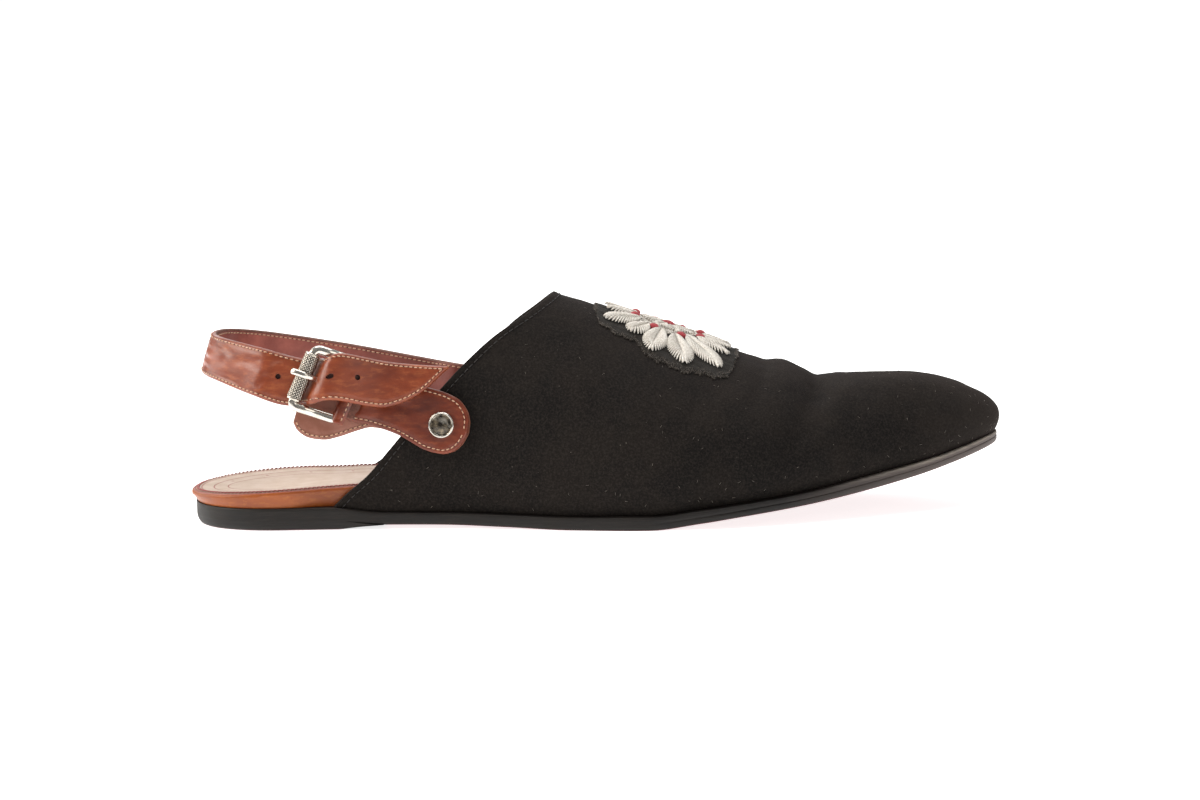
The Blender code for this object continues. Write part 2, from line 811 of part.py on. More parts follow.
def build_chape(finish):
    """The over layer: flat on the backing, round the bar and back under it."""
    flat = (SLACK + BACKING_THICK + GAP + CHAPE_THICK / 2) / MM
    rise = Table("run out", ((-11, flat), (21, flat), (27, 4.6), (33, 7.6)))
    stations = []
    for run in (-9.85, -9.5, -8, -6, -3, *range(0, 25, 4), 27, 30, 32.6):
        stations.append(tab_station(CHAPE, run * MM, rise("out", run * MM)))
    half = BUCKLE_SPAN / 2
    reach = BAR_RADIUS + GAP + CHAPE_THICK / 2
    _, length, width, outward = buckle_axes()
    low, high = CHAPE("low", 60 * MM) - CHAPE_SHIFT, CHAPE("high", 60 * MM) - CHAPE_SHIFT
    for step in range(10):
        turn = radians(70) + radians(200) * step / 9
        out = BAR_OUT + reach * sin(turn)
        point = in_buckle(half + reach * cos(turn), CHAPE_SHIFT, out)
        stations.append((point, width, low, high))
    for back in (1.5, 3, 4.5):
        out = BAR_OUT - reach - 0.12 * back * MM
        point = in_buckle(half + back * MM, CHAPE_SHIFT, out)
        stations.append((point, width, low, high))
    chape = band("tab_chape", stations, CHAPE_THICK, finish)
    place = in_buckle(half + 0.2 * MM, PRONG("v", 0), BAR_OUT)
    sizes = (*CHAPE_SLOT, CUT_DEPTH)
    cut(chape, box("prong_slot", place, (length, width, outward), sizes, finish))


# Half the section of a rivet's head: its hollow middle and rounded ring.
RIVET_HEAD = (
    (0, 0),
    (4.3, 0),
    (4.9, 0.5),
    (4.9, 1.0),
    (4.4, 1.6),
    (3.5, 1.6),
    (3.1, 1.05),
    (0, 1.15),
)


def build_rivet(name, side, along, height, out, finish):
    """A low dished cap, turned about the surface's normal."""
    foot, up = side_point(along, height, out, side)
    head, _ = side_point(along, height, out + MM, side)
    axis = (head - foot).normalized()
    across = axis.cross(up).normalized()
    sides = 28
    turns = [2 * pi * k / sides for k in range(sides)]
    rings = []
    for radius, rise in RIVET_HEAD:
        centre = foot + axis * (rise * MM)
        rings.append([centre + (across * cos(t) + up * sin(t)) * (radius * MM) for t in turns])
    mesh = bmesh.new()
    skin(mesh, rings, capped=False)
    make_object(name, mesh, finish)


def main():
    for old in list(bpy.data.objects):
        bpy.data.objects.remove(old)
    root = bpy.data.objects.new("mule", None)
    bpy.context.scene.collection.objects.link(root)

    suede = material("black_brown_suede", "#26211D", 0.95)
    sole_leather = material("black_sole_leather", "#2E2926", 0.45)
    tan = material("tan_leather", "#AA613A", 0.5)
    cognac = material("cognac_leather", "#96503A", 0.45)
    nickel = material("polished_nickel", "#B8B4AE", 0.25, 1)

    build_outsole(sole_leather)
    build_heel_lift(sole_leather)
    build_insole(tan)
    build_upper(suede)
    build_heel_strap(cognac)
    build_backing(cognac)
    build_chape(cognac)
    build_buckle_frame(nickel)
    build_buckle_roller(nickel)
    build_buckle_prong(nickel)

    tab_face = SLACK + BACKING_THICK + GAP + CHAPE_THICK + GAP * 1.5
    build_rivet("outer_rivet", LATERAL, RIVET_ALONG, RIVET_HIGH, tab_face, nickel)
    strap_face = SLACK + STRAP_THICK + GAP * 1.7
    build_rivet("inner_rivet", MEDIAL, INNER_RIVET_ALONG, INNER_RIVET_HIGH, strap_face, nickel)


main()
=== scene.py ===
"""The visible right slingback mule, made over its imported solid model.

The file is laid out as a Blender add-on and is run as a script. Sizes are in metres, and
tables are in millimetres. +X runs from heel to toe, -Y is the outer side with the buckle,
and "along" is the distance from the back of the heel.
"""

from math import cos, pi, radians, sin, sqrt, tan

import bmesh
import bpy
import numpy as np
from mathutils import Matrix, Vector

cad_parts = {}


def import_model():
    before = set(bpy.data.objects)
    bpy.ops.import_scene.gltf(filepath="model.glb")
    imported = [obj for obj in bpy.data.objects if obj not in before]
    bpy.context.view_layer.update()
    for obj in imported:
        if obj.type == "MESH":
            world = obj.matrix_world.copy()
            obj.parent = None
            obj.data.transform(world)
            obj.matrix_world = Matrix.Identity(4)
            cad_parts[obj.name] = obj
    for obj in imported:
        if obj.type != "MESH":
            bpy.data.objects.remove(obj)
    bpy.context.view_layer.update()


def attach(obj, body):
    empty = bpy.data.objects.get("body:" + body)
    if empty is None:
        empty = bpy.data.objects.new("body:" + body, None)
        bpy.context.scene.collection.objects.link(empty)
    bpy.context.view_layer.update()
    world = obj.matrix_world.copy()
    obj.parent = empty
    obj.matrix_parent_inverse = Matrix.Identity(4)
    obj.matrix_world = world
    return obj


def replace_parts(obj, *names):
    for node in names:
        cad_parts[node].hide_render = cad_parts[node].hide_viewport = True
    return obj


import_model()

bl_info = {
    "name": "Slingback mule",
    "version": (1, 0, 0),
    "blender": (4, 5, 0),
    "location": "View3D > Sidebar > Mule",
    "description": "Builds the visible pieces of a right slingback mule and its stage",
    "category": "Object",
}

MM = 0.001

# Driving sizes of the solid model.
LENGTH = 300.4 * MM
HEEL_MIDDLE = 30 * MM  # from the back of the heel to the origin
GAP = 0.3 * MM
WALL = 2.0 * MM  # suede and its lining
HEEL_LENGTH = 57 * MM
HEEL_SKIVE = 17 * MM
HEEL_ROUND = 33 * MM
TOE_START = 268 * MM
ROUNDNESS = 2.15
UPPER_TIP = 301.4 * MM
SOLE_BACK = 1.6 * MM
STRAP_WIDTH = 18.0 * MM
STRAP_THICK = 2.4 * MM
BACKING_THICK = 2.0 * MM
CHAPE_THICK = 1.2 * MM
SLACK = 0.5 * MM
BUCKLE_ALONG = 55.4 * MM
BUCKLE_HIGH = 53.1 * MM
BUCKLE_SPAN = 17.5 * MM
BUCKLE_TURN = radians(24.6)
RAIL_TURN = radians(19)
RAIL_ACROSS = 11.3 * MM
RAIL_RADIUS = 1.5 * MM
BAR_RADIUS = 1.2 * MM
ROLLER_RADIUS = 2.7 * MM
ROLLER_LENGTH = 18.4 * MM
ROLLER_OUT = 9.0 * MM
BAR_OUT = 6.2 * MM
RIVET_ALONG = 97.2 * MM
RIVET_HIGH = 38.2 * MM
TAB_TURN = radians(17.6)
INNER_RIVET_ALONG = 102 * MM
INNER_RIVET_HIGH = 43.2 * MM
STRAP_END = 111 * MM
STRAP_END_SLOPE = 0.19
STRAP_END_ROUND = 8 * MM
STRAP_FRONT_LENGTH = 72.2 * MM
STRAP_SOFTEN = 2.2 * MM
PRONG_LENGTH = 23.2 * MM
TURN_UNDER = radians(70)

LATERAL, MEDIAL = -1, 1


def cubic(knots, values, slopes, at):
    """Values, or rows of them, at new places by a cubic with the given slopes at its knots."""
    i = np.clip(np.searchsorted(knots, at, side="right") - 1, 0, len(knots) - 2)
    step = knots[i + 1] - knots[i]
    t = (at - knots[i]) / step
    if values.ndim > 1:
        step, t = step[:, None], t[:, None]
    return (
        values[i] * (1 + 2 * t) * (1 - t) ** 2
        + values[i + 1] * t * t * (3 - 2 * t)
        + step * (slopes[i] * t * (1 - t) ** 2 - slopes[i + 1] * t * t * (1 - t))
    )


class Table:
    """Rows of millimetres with named columns, read smoothly along the first column.

    The columns named in plain hold degrees or pure numbers and aren't scaled."""

    def __init__(self, names, rows, plain=()):
        values = np.array(rows, float).T
        self.at = values[0] * MM
        self.columns = {
            name: column * (1 if name in plain else MM)
            for name, column in zip(names.split(), values)
        }

    def __call__(self, name, at):
        """The column's values at one or more places, by a cubic that adds no bump."""
        knots, values = self.at, self.columns[name]
        at = np.clip(at, knots[0], knots[-1])
        rise = np.diff(values) / np.diff(knots)
        product, total = rise[:-1] * rise[1:], rise[:-1] + rise[1:]
        inner = np.where(product > 0, 2 * product / np.where(product > 0, total, 1), 0)
        return cubic(knots, values, np.concatenate([rise[:1], inner, rise[-1:]]), at)


# The sole: half widths of its outline, height of its underside and its thickness.
SOLE = Table(
    "along lateral medial bottom thick",
    (
        (0, 31.5, 31.5, 3.7, 4.6),
        (30, 32.0, 31.5, 3.7, 4.6),
        (54, 32.5, 30.5, 3.6, 4.6),
        (75, 33.0, 28.5, 1.6, 4.6),
        (95, 35.0, 28.0, 1.5, 4.4),
        (120, 40.0, 32.0, 0.8, 4.5),
        (144, 45.5, 39.5, 0, 4.6),
        (172, 50.0, 47.0, 0, 4.9),
        (190, 50.0, 49.0, 2.1, 4.7),
        (205, 48.0, 48.5, 4.0, 4.4),
        (229, 40.5, 43.0, 6.8, 4.4),
        (250, 31.0, 36.0, 10.0, 4.8),
        (268, 23.0, 29.5, 13.6, 4.5),
        (285, 17.0, 25.0, 18.1, 4.1),
        (301, 12.0, 22.0, 22.9, 4.0),
    ),
)

# The footbed: height of its rim and how far its side lies inside the sole's.
FOOTBED = Table(
    "along rim inset",
    (
        (0, 12.4, -0.4),
        (14, 13.2, -0.2),
        (38, 14.4, 0.4),
        (54, 15.0, 3.6),
        (66, 15.5, 4.2),
        (92, 14.4, 5.4),
        (130, 11.0, 6.4),
        (170, 9.6, 7.0),
        (205, 12.6, 7.0),
        (250, 18.0, 7.2),
        (301, 29.5, 7.4),
    ),
)

# The last: half widths at its widest line, how far it turns in under that line, the line's
# height above the sole, the height of the ridge and the ridge's place across.
LAST = Table(
    "along lateral medial under widest top ridge",
    (
        (0, 31.0, 30.5, 1.2, 12.0, 104, 0),
        (40, 31.5, 30.5, 1.4, 14.0, 104, 0),
        (60, 32.2, 29.5, 1.6, 15.0, 101.5, 0.5),
        (80, 33.2, 28.5, 2.0, 16.0, 98, 1.2),
        (100, 35.4, 29.0, 2.5, 16.5, 93.5, 2.5),
        (120, 39.6, 32.0, 3.0, 16.5, 87.8, 4),
        (137, 43.4, 36.8, 3.3, 15.5, 81.7, 5.5),
        (150, 46.2, 41.2, 3.5, 14.5, 77.1, 6.6),
        (176, 49.6, 47.2, 3.9, 12.5, 67.8, 8.2),
        (204, 47.4, 47.9, 4.0, 10.5, 57.8, 8.4),
        (213, 45.2, 46.3, 4.0, 10.2, 54.9, 8.2),
        (221, 42.8, 44.4, 3.9, 9.9, 54.0, 8.0),
        (229, 39.8, 42.2, 3.8, 9.6, 50.6, 7.8),
        (236, 36.8, 40.0, 3.7, 9.2, 48.2, 7.5),
        (247, 31.7, 36.3, 3.6, 8.5, 48.7, 7.0),
        (261, 25.2, 30.9, 3.2, 7.0, 49.0, 6.2),
        (301, 11.0, 21.0, 2.4, 5.2, 45.6, 5),
    ),
)

# The collar, by height: how far along it lies on each side.
COLLAR = Table(
    "height lateral medial",
    (
        (7.5, 55.5, 55.5),
        (12.0, 60.2, 62.0),
        (19.8, 69.4, 73.0),
        (28.7, 77.2, 81.8),
        (50.7, 96.6, 102.4),
        (61.0, 106.9, 112.4),
        (69.0, 116.4, 121.0),
        (76.3, 128.4, 130.8),
        (82.0, 137.6, 137.6),
    ),
)

# How full the sections are: 2 is an ellipse, less is more peaked.
FULLNESS = Table(
    "along power", ((0, 2.05), (120, 1.95), (180, 2.05), (240, 2.2), (301, 2.2)), ("power",)
)

# The strap's middle from its inner anchor round the heel: place, height, inward lean and
# half its width.
STRAP_BACK = Table(
    "run along across height lean half",
    (
        (0, 88, 33.4, 45.8, 11, 9.0),
        (15, 73, 33.6, 48.9, 10, 9.0),
        (30, 58, 32.8, 52.1, 10, 9.0),
        (45, 43, 30.8, 55.2, 10, 8.9),
        (60, 28, 26.6, 58.5, 12, 8.7),
        (75, 15.6, 18.4, 61.4, 15, 8.3),
        (85, 10.3, 9.6, 62.8, 17, 7.9),
        (95, 8.6, 0, 63.2, 18, 7.8),
        (105, 10.0, -9.6, 63.1, 17, 7.8),
        (115, 14.7, -18.6, 62.4, 15, 7.9),
        (130, 25.4, -27.6, 59.9, 12, 8.6),
    ),
    ("lean",),
)

# Its outer run under the roller, over the bar and on to the tip: place, height, distance
# off the foot, tilt and its upper edge.
STRAP_FRONT = Table(
    "run along height out tilt high",
    (
        (0, 32.0, 57.7, 4.0, 13, 8.9),
        (8, 39.7, 55.3, 4.0, 18, 9.0),
        (15, 46.8, 54.2, 3.9, 24, 8.8),
        (17, 48.8, 54.4, 4.1, 25, 9.1),
        (18.8, 50.3, 54.6, 4.8, 25, 9.1),
        (20.5, 51.5, 54.6, 6.1, 25, 8.8),
        (22.4, 52.3, 54.3, 8.1, 25, 8.8),
        (24.4, 53.0, 53.9, 10.5, 24, 8.8),
        (26.6, 54.6, 54.6, 12.2, 20, 8.9),
        (29.4, 57.3, 55.4, 12.9, 14, 8.8),
        (33, 61.0, 55.2, 12.4, 10, 8.7),
        (40, 67.8, 54.2, 10.6, 8, 8.3),
        (49, 76.6, 52.6, 8.5, 8, 8.1),
        (61, 88.4, 51.3, 7.0, 7, 8.1),
        (72.2, 99.6, 50.3, 6.3, 6, 8.3),
    ),
    ("tilt",),
)

# The lower edge of the outer run, by the distance back from the tip.
STRAP_TIP = Table(
    "before low",
    (
        (0, 7.6),
        (1, 6.6),
        (3.3, 4.1),
        (8.2, -1.3),
        (12.6, -4.5),
        (16.6, -6.6),
        (23.5, -8.8),
        (31, -9.1),
        (36, -8.8),
        (40.7, -8.6),
        (46, -9.0),
        (50, -9.3),
        (60, -9.3),
        (72.2, -9.0),
    ),
)

# Outlines of the buckle tab's layers, by the distance from the rivet towards the buckle.
BACKING = Table(
    "run low high",
    (
        (-9.9, -1.0, 1.0),
        (-9.1, -4.4, 4.8),
        (-6.8, -7.9, 8.2),
        (-2.6, -10.2, 10.8),
        (3, -10.6, 11.6),
        (9, -9.4, 11.4),
        (15, -8.2, 10.2),
        (20, -7.9, 9.2),
        (25, -8.6, 9.0),
        (29.5, -11.2, 9.0),
        (35.2, -15.2, 8.0),
        (40.5, -18.0, 4.6),
        (46, -18.8, -0.2),
        (50.4, -17.6, -5.0),
        (52.8, -15.2, -9.0),
    ),
)

CHAPE = Table(
    "run low high",
    (
        (-9.9, -1.0, 1.0),
        (-9.1, -4.4, 4.8),
        (-6.8, -7.9, 8.2),
        (-2.6, -10.2, 10.8),
        (3, -10.6, 11.6),
        (9, -9.4, 11.4),
        (15, -8.2, 10.2),
        (20, -7.9, 9.0),
        (26, -7.8, 7.6),
        (32, -8.4, 6.9),
        (60, -8.3, 8.3),
    ),
)

# Height of the rails off the foot along the buckle, and the prong's line.
RAILS = Table("u out", ((-8.8, 9.0), (-4, 8.4), (0, 7.0), (4.5, 6.3), (8.8, 6.2)))
PRONG = Table(
    "run u v out",
    (
        (0, 8.7, 2.2, 8.6),
        (5, 3.7, 1.5, 8.5),
        (9, -0.3, 0.9, 8.6),
        (12, -3.2, 0.6, 9.8),
        (15, -5.8, 0.6, 12.0),
        (18, -8.4, 0.7, 13.2),
        (20.5, -10.9, 0.8, 13.0),
        (23.2, -13.4, 0.8, 11.9),
    ),
)


# Shapes shared with the solid model.


def sole_top(along):
    return SOLE("bottom", along) + SOLE("thick", along)


def end_round(share):
    """Width left at a share of the way through a rounded end."""
    return (1 - np.clip(share, 0, 1) ** ROUNDNESS) ** (1 / ROUNDNESS)


def world(along, across, height):
    return np.stack(np.broadcast_arrays(along - HEEL_MIDDLE, across, height), axis=-1)


def unit(vectors):
    return vectors / np.maximum(np.linalg.norm(vectors, axis=-1, keepdims=True), 1e-12)


def last_shape(level, along):
    """Share of the half width, inset and height at a level: -1 at the sole, 0 widest, 1 ridge."""
    foot = sole_top(along) + GAP
    widest = foot + LAST("widest", along)
    under = np.clip(-level, 0, 1) * TURN_UNDER
    over = np.clip(level, 0, 1) * pi / 2
    power = 2 / FULLNESS("power", along)
    inset = LAST("under", along) * (1 - np.cos(under)) / (1 - cos(TURN_UNDER))
    low = widest - (widest - foot) * np.sin(under) / sin(TURN_UNDER)
    high = widest + (LAST("top", along) - widest) * np.sin(over) ** power
    share = np.maximum(np.cos(over), 0) ** power
    return np.where(level < 0, 1, share), np.where(level < 0, inset, 0), np.where(level < 0, low, high)


def last_tip(level):
    """How far along a level reaches at the toe."""
    share, inset, _ = last_shape(level, UPPER_TIP)
    return TOE_START + (UPPER_TIP - TOE_START) * share - inset


def last_point(side, level, along):
    """Points of the last's outside."""
    share, inset, height = last_shape(level, along)
    lateral, medial = LAST("lateral", along), LAST("medial", along)
    middle, half = (medial - lateral) / 2, (medial + lateral) / 2
    room = last_tip(level) - TOE_START
    closing = end_round((along - TOE_START) / np.maximum(room, MM / 10))
    closing = np.where(room > MM / 10, closing, 1)
    ridge = (LAST("ridge", along) - middle) * np.sin(np.clip(level, 0, 1) * pi / 2) ** 2
    return world(along, middle + ridge + side * (half - inset) * share * closing, height)


def collar_start(side, level):
    """Where levels of the last meet the collar, found by halving."""
    name = "lateral" if side == LATERAL else "medial"
    low, high = np.full_like(level, 40 * MM), np.full_like(level, 150 * MM)
    for _ in range(40):
        middle = (low + high) / 2
        behind = middle < COLLAR(name, last_shape(level, middle)[2])
        low, high = np.where(behind, middle, low), np.where(behind, high, middle)
    return high


def side_point(along, height, out, side=LATERAL):
    """Points at heights beside the last, standing off it by out, and the way up there."""
    along, height, out = np.broadcast_arrays(*(np.asarray(v, float) for v in (along, height, out)))
    points = []
    for step in (0, MM, -MM):
        low, high = np.zeros_like(along), np.ones_like(along)
        for _ in range(30):
            level = (low + high) / 2
            under = last_shape(level, along)[2] < height + step
            low, high = np.where(under, level, low), np.where(under, high, level)
        points.append(last_point(side, low, along))
    up = unit(points[1] - points[2])
    forward = unit(last_point(side, low, along + MM) - last_point(side, low, along - MM))
    normal = unit(np.cross(forward, up)) * -side
    return points[0] + normal * out[..., None], up


def sole_loop(height, inset=0, back=SOLE_BACK, tip=LENGTH, end=None, extra=None, steps=220):
    """Side pairs of the sole's outline drawn in by inset, each at height(along)."""
    back, tip = back + inset, tip - inset
    last = tip if end is None else end
    turn = np.linspace(0, pi if end is None else pi / 2, steps + 1)
    along = back + (last - back) * (1 - np.cos(turn)) / (2 if end is None else 1)
    shift = inset + (extra(along) if extra else 0)
    lateral = SOLE("lateral", along) - shift
    medial = SOLE("medial", along) - shift
    middle, half = (medial - lateral) / 2, np.maximum((medial + lateral) / 2, 0.1 * MM)
    closing = end_round((back + HEEL_ROUND - along) / HEEL_ROUND)
    closing = closing * end_round((along - TOE_START) / (tip - TOE_START))
    return [world(along, middle + s * half * closing, height(along)) for s in (-1, 1)]


def buckle_axes():
    """Origin, length, width and outward axes of the buckle."""
    origin, up = side_point(BUCKLE_ALONG, BUCKLE_HIGH, 0)
    ahead, _ = side_point(BUCKLE_ALONG + MM, BUCKLE_HIGH, 0)
    forward = unit(ahead - origin)
    up = unit(up - forward * up.dot(forward))
    length = forward * cos(RAIL_TURN) - up * sin(RAIL_TURN)
    width = forward * sin(BUCKLE_TURN) + up * cos(BUCKLE_TURN)
    return origin, length, width, np.cross(forward, up)


def in_buckle(u, v, n):
    """Points by their distances along, across and out from the buckle's middle."""
    origin, *axes = buckle_axes()
    parts = np.broadcast_arrays(*(np.asarray(p, float) for p in (u, v, n)))
    return origin + sum(part[..., None] * axis for part, axis in zip(parts, axes))


# Making meshes.

SHARP = radians(50)  # an edge that turns by more isn't shaded smooth


def quads(rows, columns, around=False, first=0):
    """Faces of a grid of points that is numbered row by row."""
    numbers = first + np.arange(rows * columns).reshape(rows, columns)
    if around:
        numbers = np.concatenate([numbers, numbers[:, :1]], axis=1)
    corners = (numbers[:-1, :-1], numbers[:-1, 1:], numbers[1:, 1:], numbers[1:, :-1])
    return np.stack(corners, axis=-1).reshape(-1, 4)


def capped(rows, columns):
    """Faces of rings of points that are numbered one by one, with both ends closed."""
    ends = [np.arange(columns)[::-1], np.arange(columns) + (rows - 1) * columns]
    return list(quads(rows, columns, around=True)) + ends


def make_piece(name, points, faces, finishes, slots=None, fields=None, sharp=False):
    """A piece that rides on the shoe. Faces are lists of points, slots their finishes."""
    points = np.asarray(points, float).reshape(-1, 3)
    faces = [[int(i) for i in face] for face in faces]
    data = bpy.data.meshes.new(name)
    data.from_pydata(points.tolist(), [], faces)
    for finish in finishes:
        data.materials.append(finish)
    if slots is not None:
        data.polygons.foreach_set("material_index", np.asarray(slots, np.int32))
    for label, values in (fields or {}).items():
        field = data.attributes.new(label, "FLOAT", "POINT")
        field.data.foreach_set("value", np.asarray(values, np.float32).ravel())
    data.validate()
    data.update()
    data.shade_smooth()
    if sharp:
        data.set_sharp_from_angle(angle=SHARP)
    made = bpy.data.objects.new(name, data)
    bpy.context.scene.collection.objects.link(made)
    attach(made, "root")
    return made


def weld(piece, reach=1e-6):
    """Joins points that meet, and turns every face outwards."""
    mesh = bmesh.new()
    mesh.from_mesh(piece.data)
    bmesh.ops.remove_doubles(mesh, verts=mesh.verts, dist=reach)
    bmesh.ops.dissolve_degenerate(mesh, edges=mesh.edges, dist=reach)
    bmesh.ops.recalc_face_normals(mesh, faces=mesh.faces)
    mesh.to_mesh(piece.data)
    mesh.free()


def soft_noise(points, size, seed=0):
    """Smooth waves of about one unit height, whose hills are size across."""
    rng = np.random.default_rng(seed)
    total = 0
    for _ in range(9):
        way = unit(rng.normal(size=3)) * 2 * pi / (size * rng.uniform(0.8, 1.6))
        total = total + np.sin(points @ way + rng.uniform(0, 2 * pi))
    return total / 3


def mound(away, reach):
    """1 on a line, and falling softly to nothing by about twice the reach from it."""
    return np.exp(-((away / reach) ** 2))


def crease_depth(places, creases):
    """Sum of soft troughs and ridges at 2-D places. A crease is (depth, half width, line)."""
    total = np.zeros(places.shape[:-1])
    for depth, width, line in creases:
        line = np.array(line, float) * MM
        nearest = np.full(total.shape, np.inf)
        where = np.zeros_like(total)
        lengths = np.linalg.norm(np.diff(line, axis=0), axis=1)
        done = 0
        for start, end, length in zip(line, line[1:], lengths):
            t = np.clip(((places - start) @ (end - start)) / length**2, 0, 1)
            away = np.linalg.norm(places - start - t[..., None] * (end - start), axis=-1)
            where = np.where(away < nearest, (done + t * length) / lengths.sum(), where)
            nearest = np.minimum(nearest, away)
            done += length
        fade = np.clip(4 * where * (1 - where) * 2.2, 0, 1) ** 0.7
        total += depth * MM * fade * mound(nearest, width * MM)
    return total


def curve_through(at, values, new_at):
    """Rows of values read at new places by a smooth cubic."""
    return cubic(at, values, np.gradient(values, at, axis=0), new_at)


def read_rows(new_at, at, rows):
    """Rows of values read at new places by straight lines."""
    return np.stack([np.interp(new_at, at, column) for column in rows.T], axis=-1)


def lengths_along(points):
    steps = np.linalg.norm(np.diff(points, axis=0), axis=1)
    return np.concatenate([[0], np.cumsum(steps)])


CUT_FROM = 1.9  # turn in radians from a strip's face round its edge to where the cut shows


class Strip:
    """A strip of leather given by its middle line, the way across it and its two edges."""

    def __init__(self, middle, up, low, high, thick, outward=1, step=0.9 * MM, puff=0.28 * MM,
                 seam=1.8 * MM, groove=0.12 * MM, creases=()):
        at = lengths_along(middle)
        # Rows crowd together near both ends, where the leather dips to its edge.
        near = np.array((0, 0.08, 0.2, 0.4, 0.7, 1.1, 1.6, 2.2, 3.0)) * MM
        count = int(at[-1] / step)
        spread = np.linspace(near[-1], at[-1] - near[-1], count)
        self.at = np.concatenate([near[:-1], spread, at[-1] - near[-2::-1]])
        rows = np.column_stack([middle, up])
        rows = curve_through(at, rows, self.at)
        self.low = np.interp(self.at, at, low)
        self.high = np.interp(self.at, at, high)
        self.middle, self.up = rows[:, :3], unit(rows[:, 3:])
        run = unit(np.gradient(self.middle, self.at, axis=0))
        self.out = unit(np.cross(run, self.up)) * outward
        self.outward = outward
        self.thick, self.puff, self.seam, self.groove = thick, puff, seam, groove
        self.creases = creases

    def rise(self, run, across):
        """How far the outer face stands off the strip's middle there."""
        edge = np.minimum(
            across - np.interp(run, self.at, self.low), np.interp(run, self.at, self.high) - across
        )
        edge = np.maximum(edge, 0)
        rise = self.thick / 2 + self.puff * (1 - mound(edge, 1.6 * MM))
        rise = rise - self.groove * mound(edge - self.seam, 0.45 * MM)
        if self.creases:
            rise = rise + crease_depth(np.stack([run, across], axis=-1), self.creases)
        return rise

    def place(self, run, across, lift=0, lining=False):
        """Points on the outer face or the lining, with the ways along, across and out of it."""
        up, out = (unit(read_rows(run, self.at, rows)) for rows in (self.up, self.out))
        along = unit(np.cross(up, out)) * self.outward
        point = read_rows(run, self.at, self.middle) + up * across[..., None]
        if lining:
            return point - out * (self.thick / 2 + lift), along, up, -out
        return point + out * (self.rise(run, across) + lift)[..., None], along, up, out

    def build(self, name, finishes, slot, face_steps=22):
        """The strip's body: its face and turned edges, then its cut edge and its lining."""
        half = self.thick / 2
        width = self.high - self.low
        soft = np.minimum(0.85 * half, width * 0.45)[:, None]
        share = (1 - np.cos(np.linspace(0, pi, face_steps))) / 2
        face = self.low[:, None] + soft + (width[:, None] - 2 * soft) * share
        run = np.repeat(self.at[:, None], face_steps, axis=1)
        parts, depths, kinds = [face], [self.rise(run, face)], [0] * face_steps
        top = self.rise(self.at, self.high - soft[:, 0])[:, None]

        def turn_over(edge, way, turns):
            for turn in turns:
                parts.append(edge[:, None] - way * soft + way * soft * sin(turn))
                depths.append(np.where(cos(turn) > 0, top, half) * cos(turn))
                kinds.append(0 if turn < CUT_FROM else 1)

        turns = np.linspace(0, pi, 9)[1:-1]
        turn_over(self.high, 1, turns)
        inner = face[:, ::-3]
        parts.append(inner)
        depths.append(np.full_like(inner, -half))
        kinds += [2] * inner.shape[1]
        turn_over(self.low, -1, turns[::-1])
        across, depth = np.concatenate(parts, axis=1), np.concatenate(depths, axis=1)
        points = self.middle[:, None] + self.up[:, None] * across[..., None]
        points = points + self.out[:, None] * depth[..., None]
        rows, columns = across.shape
        kinds = np.maximum(kinds, np.roll(kinds, -1))
        slots = list(np.tile(np.minimum(kinds, len(finishes) - 1), rows - 1)) + [0, 0]
        piece = make_piece(name, points, capped(rows, columns), finishes, slots)
        weld(piece)
        return piece

    def seam_line(self, inset, start=0):
        """Lines on the face that keep their distance from the whole edge, as (run, across)."""
        low = np.stack([self.at, self.low], axis=-1)
        high = np.stack([self.at, self.high], axis=-1)
        border = np.concatenate([low, high])
        found = []
        for edge, side in ((low, 1), (high, -1)):
            fine = np.linspace(0, len(edge) - 1, 4 * len(edge))
            edge = read_rows(fine, np.arange(len(edge)), edge)
            way = unit(np.gradient(edge, axis=0))
            line = edge + side * inset * np.stack([-way[:, 1], way[:, 0]], axis=-1)
            away = np.linalg.norm(line[:, None] - border[None], axis=-1).min(axis=1)
            found.append(line[(away > 0.93 * inset) & (line[:, 0] > start)])
        return found


def walk(line, pitch):
    """Points at an even pitch along a line, with the way it runs there."""
    at = lengths_along(line)
    count = max(int(at[-1] / pitch), 1)
    middles = (np.arange(count) + 0.5) * at[-1] / count
    points = read_rows(middles, at, line)
    return points, read_rows(middles + pitch / 4, at, line) - points


def threads(name, centres, ways, outs, length, radius, finish, arch=0.0, sides=6):
    """Many short threads as one mesh: each lies along its way and its ends dip."""
    share = np.array((0, 0.06, 0.2, 0.5, 0.8, 0.94, 1))
    girth = radius * np.array((0.25, 0.7, 0.95, 1, 0.95, 0.7, 0.25))
    turn = np.arange(sides) * 2 * pi / sides
    ways, outs = unit(ways), unit(outs)
    cross = unit(np.cross(outs, ways))
    outs = np.cross(ways, cross)
    middle = centres[:, None] + ways[:, None] * ((share - 0.5) * length)[None, :, None]
    middle = middle + outs[:, None] * (arch * (np.sin(pi * share) - 0.6))[None, :, None]
    around = cross[:, None] * np.cos(turn)[None, :, None] + outs[:, None] * np.sin(turn)[None, :, None]
    points = middle[:, :, None] + around[:, None] * girth[None, :, None, None]
    count, rings = len(centres), len(share)
    one = capped(rings, sides)
    faces = [face + i * rings * sides for i in range(count) for face in one]
    return make_piece(name, points, faces, [finish])


